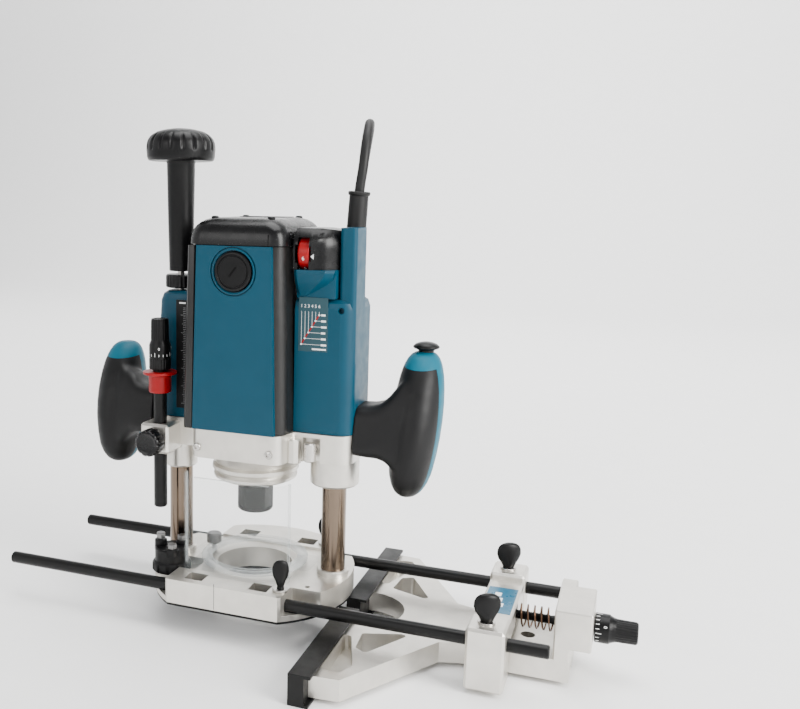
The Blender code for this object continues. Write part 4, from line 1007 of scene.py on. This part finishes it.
def grip_form(side):
    """Palm grip and its flared neck as two overlapping solids."""
    rings = []
    foot_y, rake = GRIP_FOOT[1], (GRIP_HEAD[1] - GRIP_FOOT[1])
    out, crown = GRIP_SHIFT[side]
    for t, end in GRIP_ENDS:
        bulge = 4 * t * (1 - t)
        x = side * (GRIP_FOOT[0] + out + (GRIP_HEAD[0] - GRIP_FOOT[0]) * t + bulge)
        y = foot_y + rake * t - 3.0 * bulge
        z = GRIP_FOOT[2] + (GRIP_HEAD[2] + crown - GRIP_FOOT[2]) * t
        half_x = end * (12.8 + 1.4 * t + 6.4 * bulge)
        half_y = end * (19.5 - 5.0 * t + 11.0 * bulge)
        rings.append([at(x + half_x * cos(a), y + half_y * sin(a), z) for a in around(48)])
    grip = loft(rings)
    rings = []
    neck = ((89, 126, 165, 20.0, 5), (100, 125, 165.5, 19.5, 4.5), (108, 124.5, 168, 18.5, 4),
            (114, 122, 173.5, 17.5, 3.4), (119, 117, 180 + crown / 2, 16.5, 3),
            (124, 110, 186 + crown, 15.5, 2.6), (130, 102, 190 + crown, 14, 2.4))
    for x, low, high, half_y, power in neck:
        ring = []
        for a in around(48):
            z = (low + high) / 2 + (high - low) / 2 * squarish(sin(a), power)
            shift = (z - 145) * 0.17
            ring.append(at(side * x, 1.5 + shift + half_y * squarish(cos(a), power), z))
        rings.append(ring)
    return merge(grip, loft(rings))


def melted(name, bm, voxel, rounds):
    """Fuse overlapping solids into one skin and soften where they meet."""
    bmesh.ops.recalc_face_normals(bm, faces=bm.faces)
    mesh = mesh_of(name, bm)
    obj = placed(name, mesh)
    skin = obj.modifiers.new("skin", "REMESH")
    skin.mode = "VOXEL"
    skin.voxel_size = voxel * MM
    soften = obj.modifiers.new("soften", "SMOOTH")
    soften.factor = 0.5
    soften.iterations = rounds
    graph = bpy.context.evaluated_depsgraph_get()
    final = bpy.data.meshes.new_from_object(obj.evaluated_get(graph))
    bpy.data.objects.remove(obj)
    bpy.data.meshes.remove(mesh)
    out = bmesh.new()
    out.from_mesh(final)
    bpy.data.meshes.remove(final)
    return out


def make_handles():
    """Black soft fronts and teal backs cut from one smooth form each; the backs take a lighter copy of the
    housing teal, a painted lit tone.
    """
    rake = (GRIP_HEAD[1] - GRIP_FOOT[1]) / (GRIP_HEAD[2] - GRIP_FOOT[2])
    for word, side in (("left", -1), ("right", 1)):
        whole = melted(word + "_form", grip_form(side), 1.3, 12)
        planes = (
            (at(side * 130, GRIP_FOOT[1] - 5.0, GRIP_FOOT[2]),
             Vector((side * 0.36, 1.0, -rake)).normalized()),
            (at(0, 0, CAP_LINE + GRIP_SHIFT[side][1]), Vector((0, -0.12, 1)).normalized()),
        )
        for spot, normal in planes:
            sliced(whole, spot, normal)
        shell = whole.copy()
        for bm, keep_back in ((whole, False), (shell, True)):
            gone = []
            for face in bm.faces:
                middle_of = face.calc_center_median()
                back = any((middle_of - spot).dot(normal) > 0 for spot, normal in planes)
                if (middle_of.x - ORIGIN.x) * side < NECK_END * MM:
                    back = False
                if back != keep_back:
                    gone.append(face)
            bmesh.ops.delete(bm, geom=gone, context="FACES")
        # The backs use the lighter teal copy, which paints light onto them.
        for name, bm, surface, node in (("_grip_front", whole, "grip", word + "_handle"),
                                        ("_grip_back", shell, "teal_painted_lit", word + "_handle_shell")):
            piece(word + name, bm, "motor", surface, 60, node)


def make_lock_button():
    x, y = centre("lock_button", 0), centre("lock_button", 1)
    profile = [(0, 0), (6.6, 0), (6.8, 0.5), (6.2, 5.2), (6.4, 6.2), (10.0, 7.6), (10.6, 8.4), (10.4, 9.4),
               (8.6, 11.0), (5.5, 12.2), (2.5, 12.8), (0, 12.9)]
    bm = aim(lathe(profile, 44), (x, y, 202.3))
    piece("lock_button_shown", bm, "lock_on", "knob", angle=50, node="lock_button")


REFINED = (
    ("base_casting", "cast", 0.7, 30), ("base_sole", "black", 0.3, 30), ("bearing_bracket", "cast", 1.5, 32),
    ("motor_housing", "strip", 0.6, 30), ("front_cover", "teal", 0.7, 30), ("rear_cover", "teal", 0.7, 30),
    ("left_shell", "teal", 0.8, 35), ("right_shell", "teal", 1.2, 35),
    ("switch_trigger", "black", 0.8, 30), ("plunge_lock_lever", "black", 0.3, 40),
    ("guide_holder", "cast", 0.5, 30), ("guide_plate", "cast", 1.5, 30), ("fence_front", "fence", 0.4, 30),
    ("fence_rear", "fence", 0.4, 30), ("stop_turret", "black", 0.2, 40), ("stop_bolt_1", "screw", 0.25, 40),
    ("stop_bolt_2", "screw", 0.25, 40), ("stop_bolt_3", "screw", 0.25, 40),
    ("deflector_screw", "screw", 0.2, 40),
    ("shaft_lock", "steel", 0.3, 40), ("collet_nut", "collet", 0.4, 35), ("stop_pole", "rod", 0.3, 40),
    ("depth_pointer", "red", 0.3, 40), ("guide_rod_front", "rod", 0.2, 40),
    ("guide_rod_rear", "rod", 0.2, 40),
    ("depth_scale", "black", 0.15, 40),
)
PLAIN = (
    ("threaded_rod", "steel"), ("adjuster_spring", "spring"), ("armature", "copper"),
    ("cooling_fan", "black"), ("field_coil", "copper"), ("collet_cone", "steel"),
)


def dress_plain():
    """Better materials for the CAD nodes that stay as they are."""
    for node, surface in PLAIN:
        data = NODES[node].data
        data.materials.clear()
        data.materials.append(FINISH[surface])
        data.shade_smooth()
        data.set_sharp_from_angle(angle=radians(40))


# ---------------- studio

def make_floor():
    """Pale paper: flat under the tool and swept up far behind it."""
    front, back, radius, wall, side, drop = -6.0, 2.4, 1.6, 5.0, 9.0, 0.0002
    line = [(front, 0.0), (0.0, 0.0), (back, 0.0)]
    steps = 24
    for k in range(1, steps + 1):
        a = pi / 2 * k / steps
        line.append((back + radius * sin(a), radius * (1 - cos(a))))
    line.append((back + radius, wall))
    bm = bmesh.new()
    rows = [[bm.verts.new((x, y, z + FLOOR_Z - drop)) for y, z in line] for x in (-side, side)]
    for k in range(len(line) - 1):
        bm.faces.new((rows[0][k], rows[1][k], rows[1][k + 1], rows[0][k + 1]))
    bmesh.ops.recalc_face_normals(bm, faces=bm.faces)
    mesh = mesh_of("floor", bm)
    mesh.shade_smooth()
    floor = placed("floor", mesh)
    paper = finish("floor_paper", (0.93, 0.93, 0.925), 0.8, grain=200, bump=0.02, vary=0.008, shine=0.2)
    floor.data.materials.append(paper)


def area_light(name, place, target, size, power, colour=(1, 1, 1)):
    data = bpy.data.lights.new(name, "AREA")
    data.shape = "RECTANGLE"
    data.size, data.size_y = size
    data.energy = power
    data.color = colour
    lamp = placed(name, data)
    lamp.location = place
    lamp.rotation_euler = (Vector(target) - Vector(place)).to_track_quat("-Z", "Y").to_euler()


def make_studio():
    """Bright all round at eye level, dimmer overhead, with a large light on the right."""
    world = bpy.data.worlds.new("studio")
    bpy.context.scene.world = world
    world.use_nodes = True
    tree = world.node_tree
    sky = tree.nodes["Background"]
    sky.inputs["Color"].default_value = (0.985, 0.99, 1.0, 1)
    coord = tree.nodes.new("ShaderNodeTexCoord")
    split = tree.nodes.new("ShaderNodeSeparateXYZ")
    fade = tree.nodes.new("ShaderNodeMapRange")
    fade.inputs["From Min"].default_value = 0.3
    fade.inputs["From Max"].default_value = 0.75
    fade.inputs["To Min"].default_value = 1.5
    fade.inputs["To Max"].default_value = 0.55
    link(tree, coord, "Generated", split, "Vector")
    link(tree, split, "Z", fade, "Value")
    link(tree, fade, "Result", sky, "Strength")
    target = (0.0, 0.0, 0.16)
    area_light("key", (1.75, -0.55, 1.05), target, (0.9, 1.4), 74, (1.0, 0.99, 0.97))
    area_light("top", (0.1, 0.2, 2.1), target, (1.8, 1.4), 52)
    area_light("backdrop", (0.0, 1.2, 2.4), (0.0, 4.0, 0.7), (3.0, 0.8), 150)
    area_light("front", (-0.7, -1.9, 1.0), target, (1.2, 0.8), 9, (1.0, 0.98, 0.96))


make_camera()
FINISH = make_finishes()
make_cord()
for node, surface, bevel, angle in REFINED:
    refined(node, surface, bevel, angle)
make_top()
brush_cap("brush_cap_front", -1)
brush_cap("brush_cap_rear", 1)
make_dial()
make_speed_chart()
make_scale()
make_fasteners()
make_columns()
make_column_springs()
make_washers()
for node in ("rod_clamp_front", "rod_clamp_rear", "holder_screw_front", "holder_screw_rear"):
    make_wing_knob(node)
make_height_knob()
make_stop_knobs()
make_micro_dial()
make_holder_sticker()
make_shield()
make_base_marks()
make_turret_sleeves()
make_corner_strips()
make_dial_housing()
make_handles()
make_lock_button()
dress_plain()
make_floor()
make_studio()
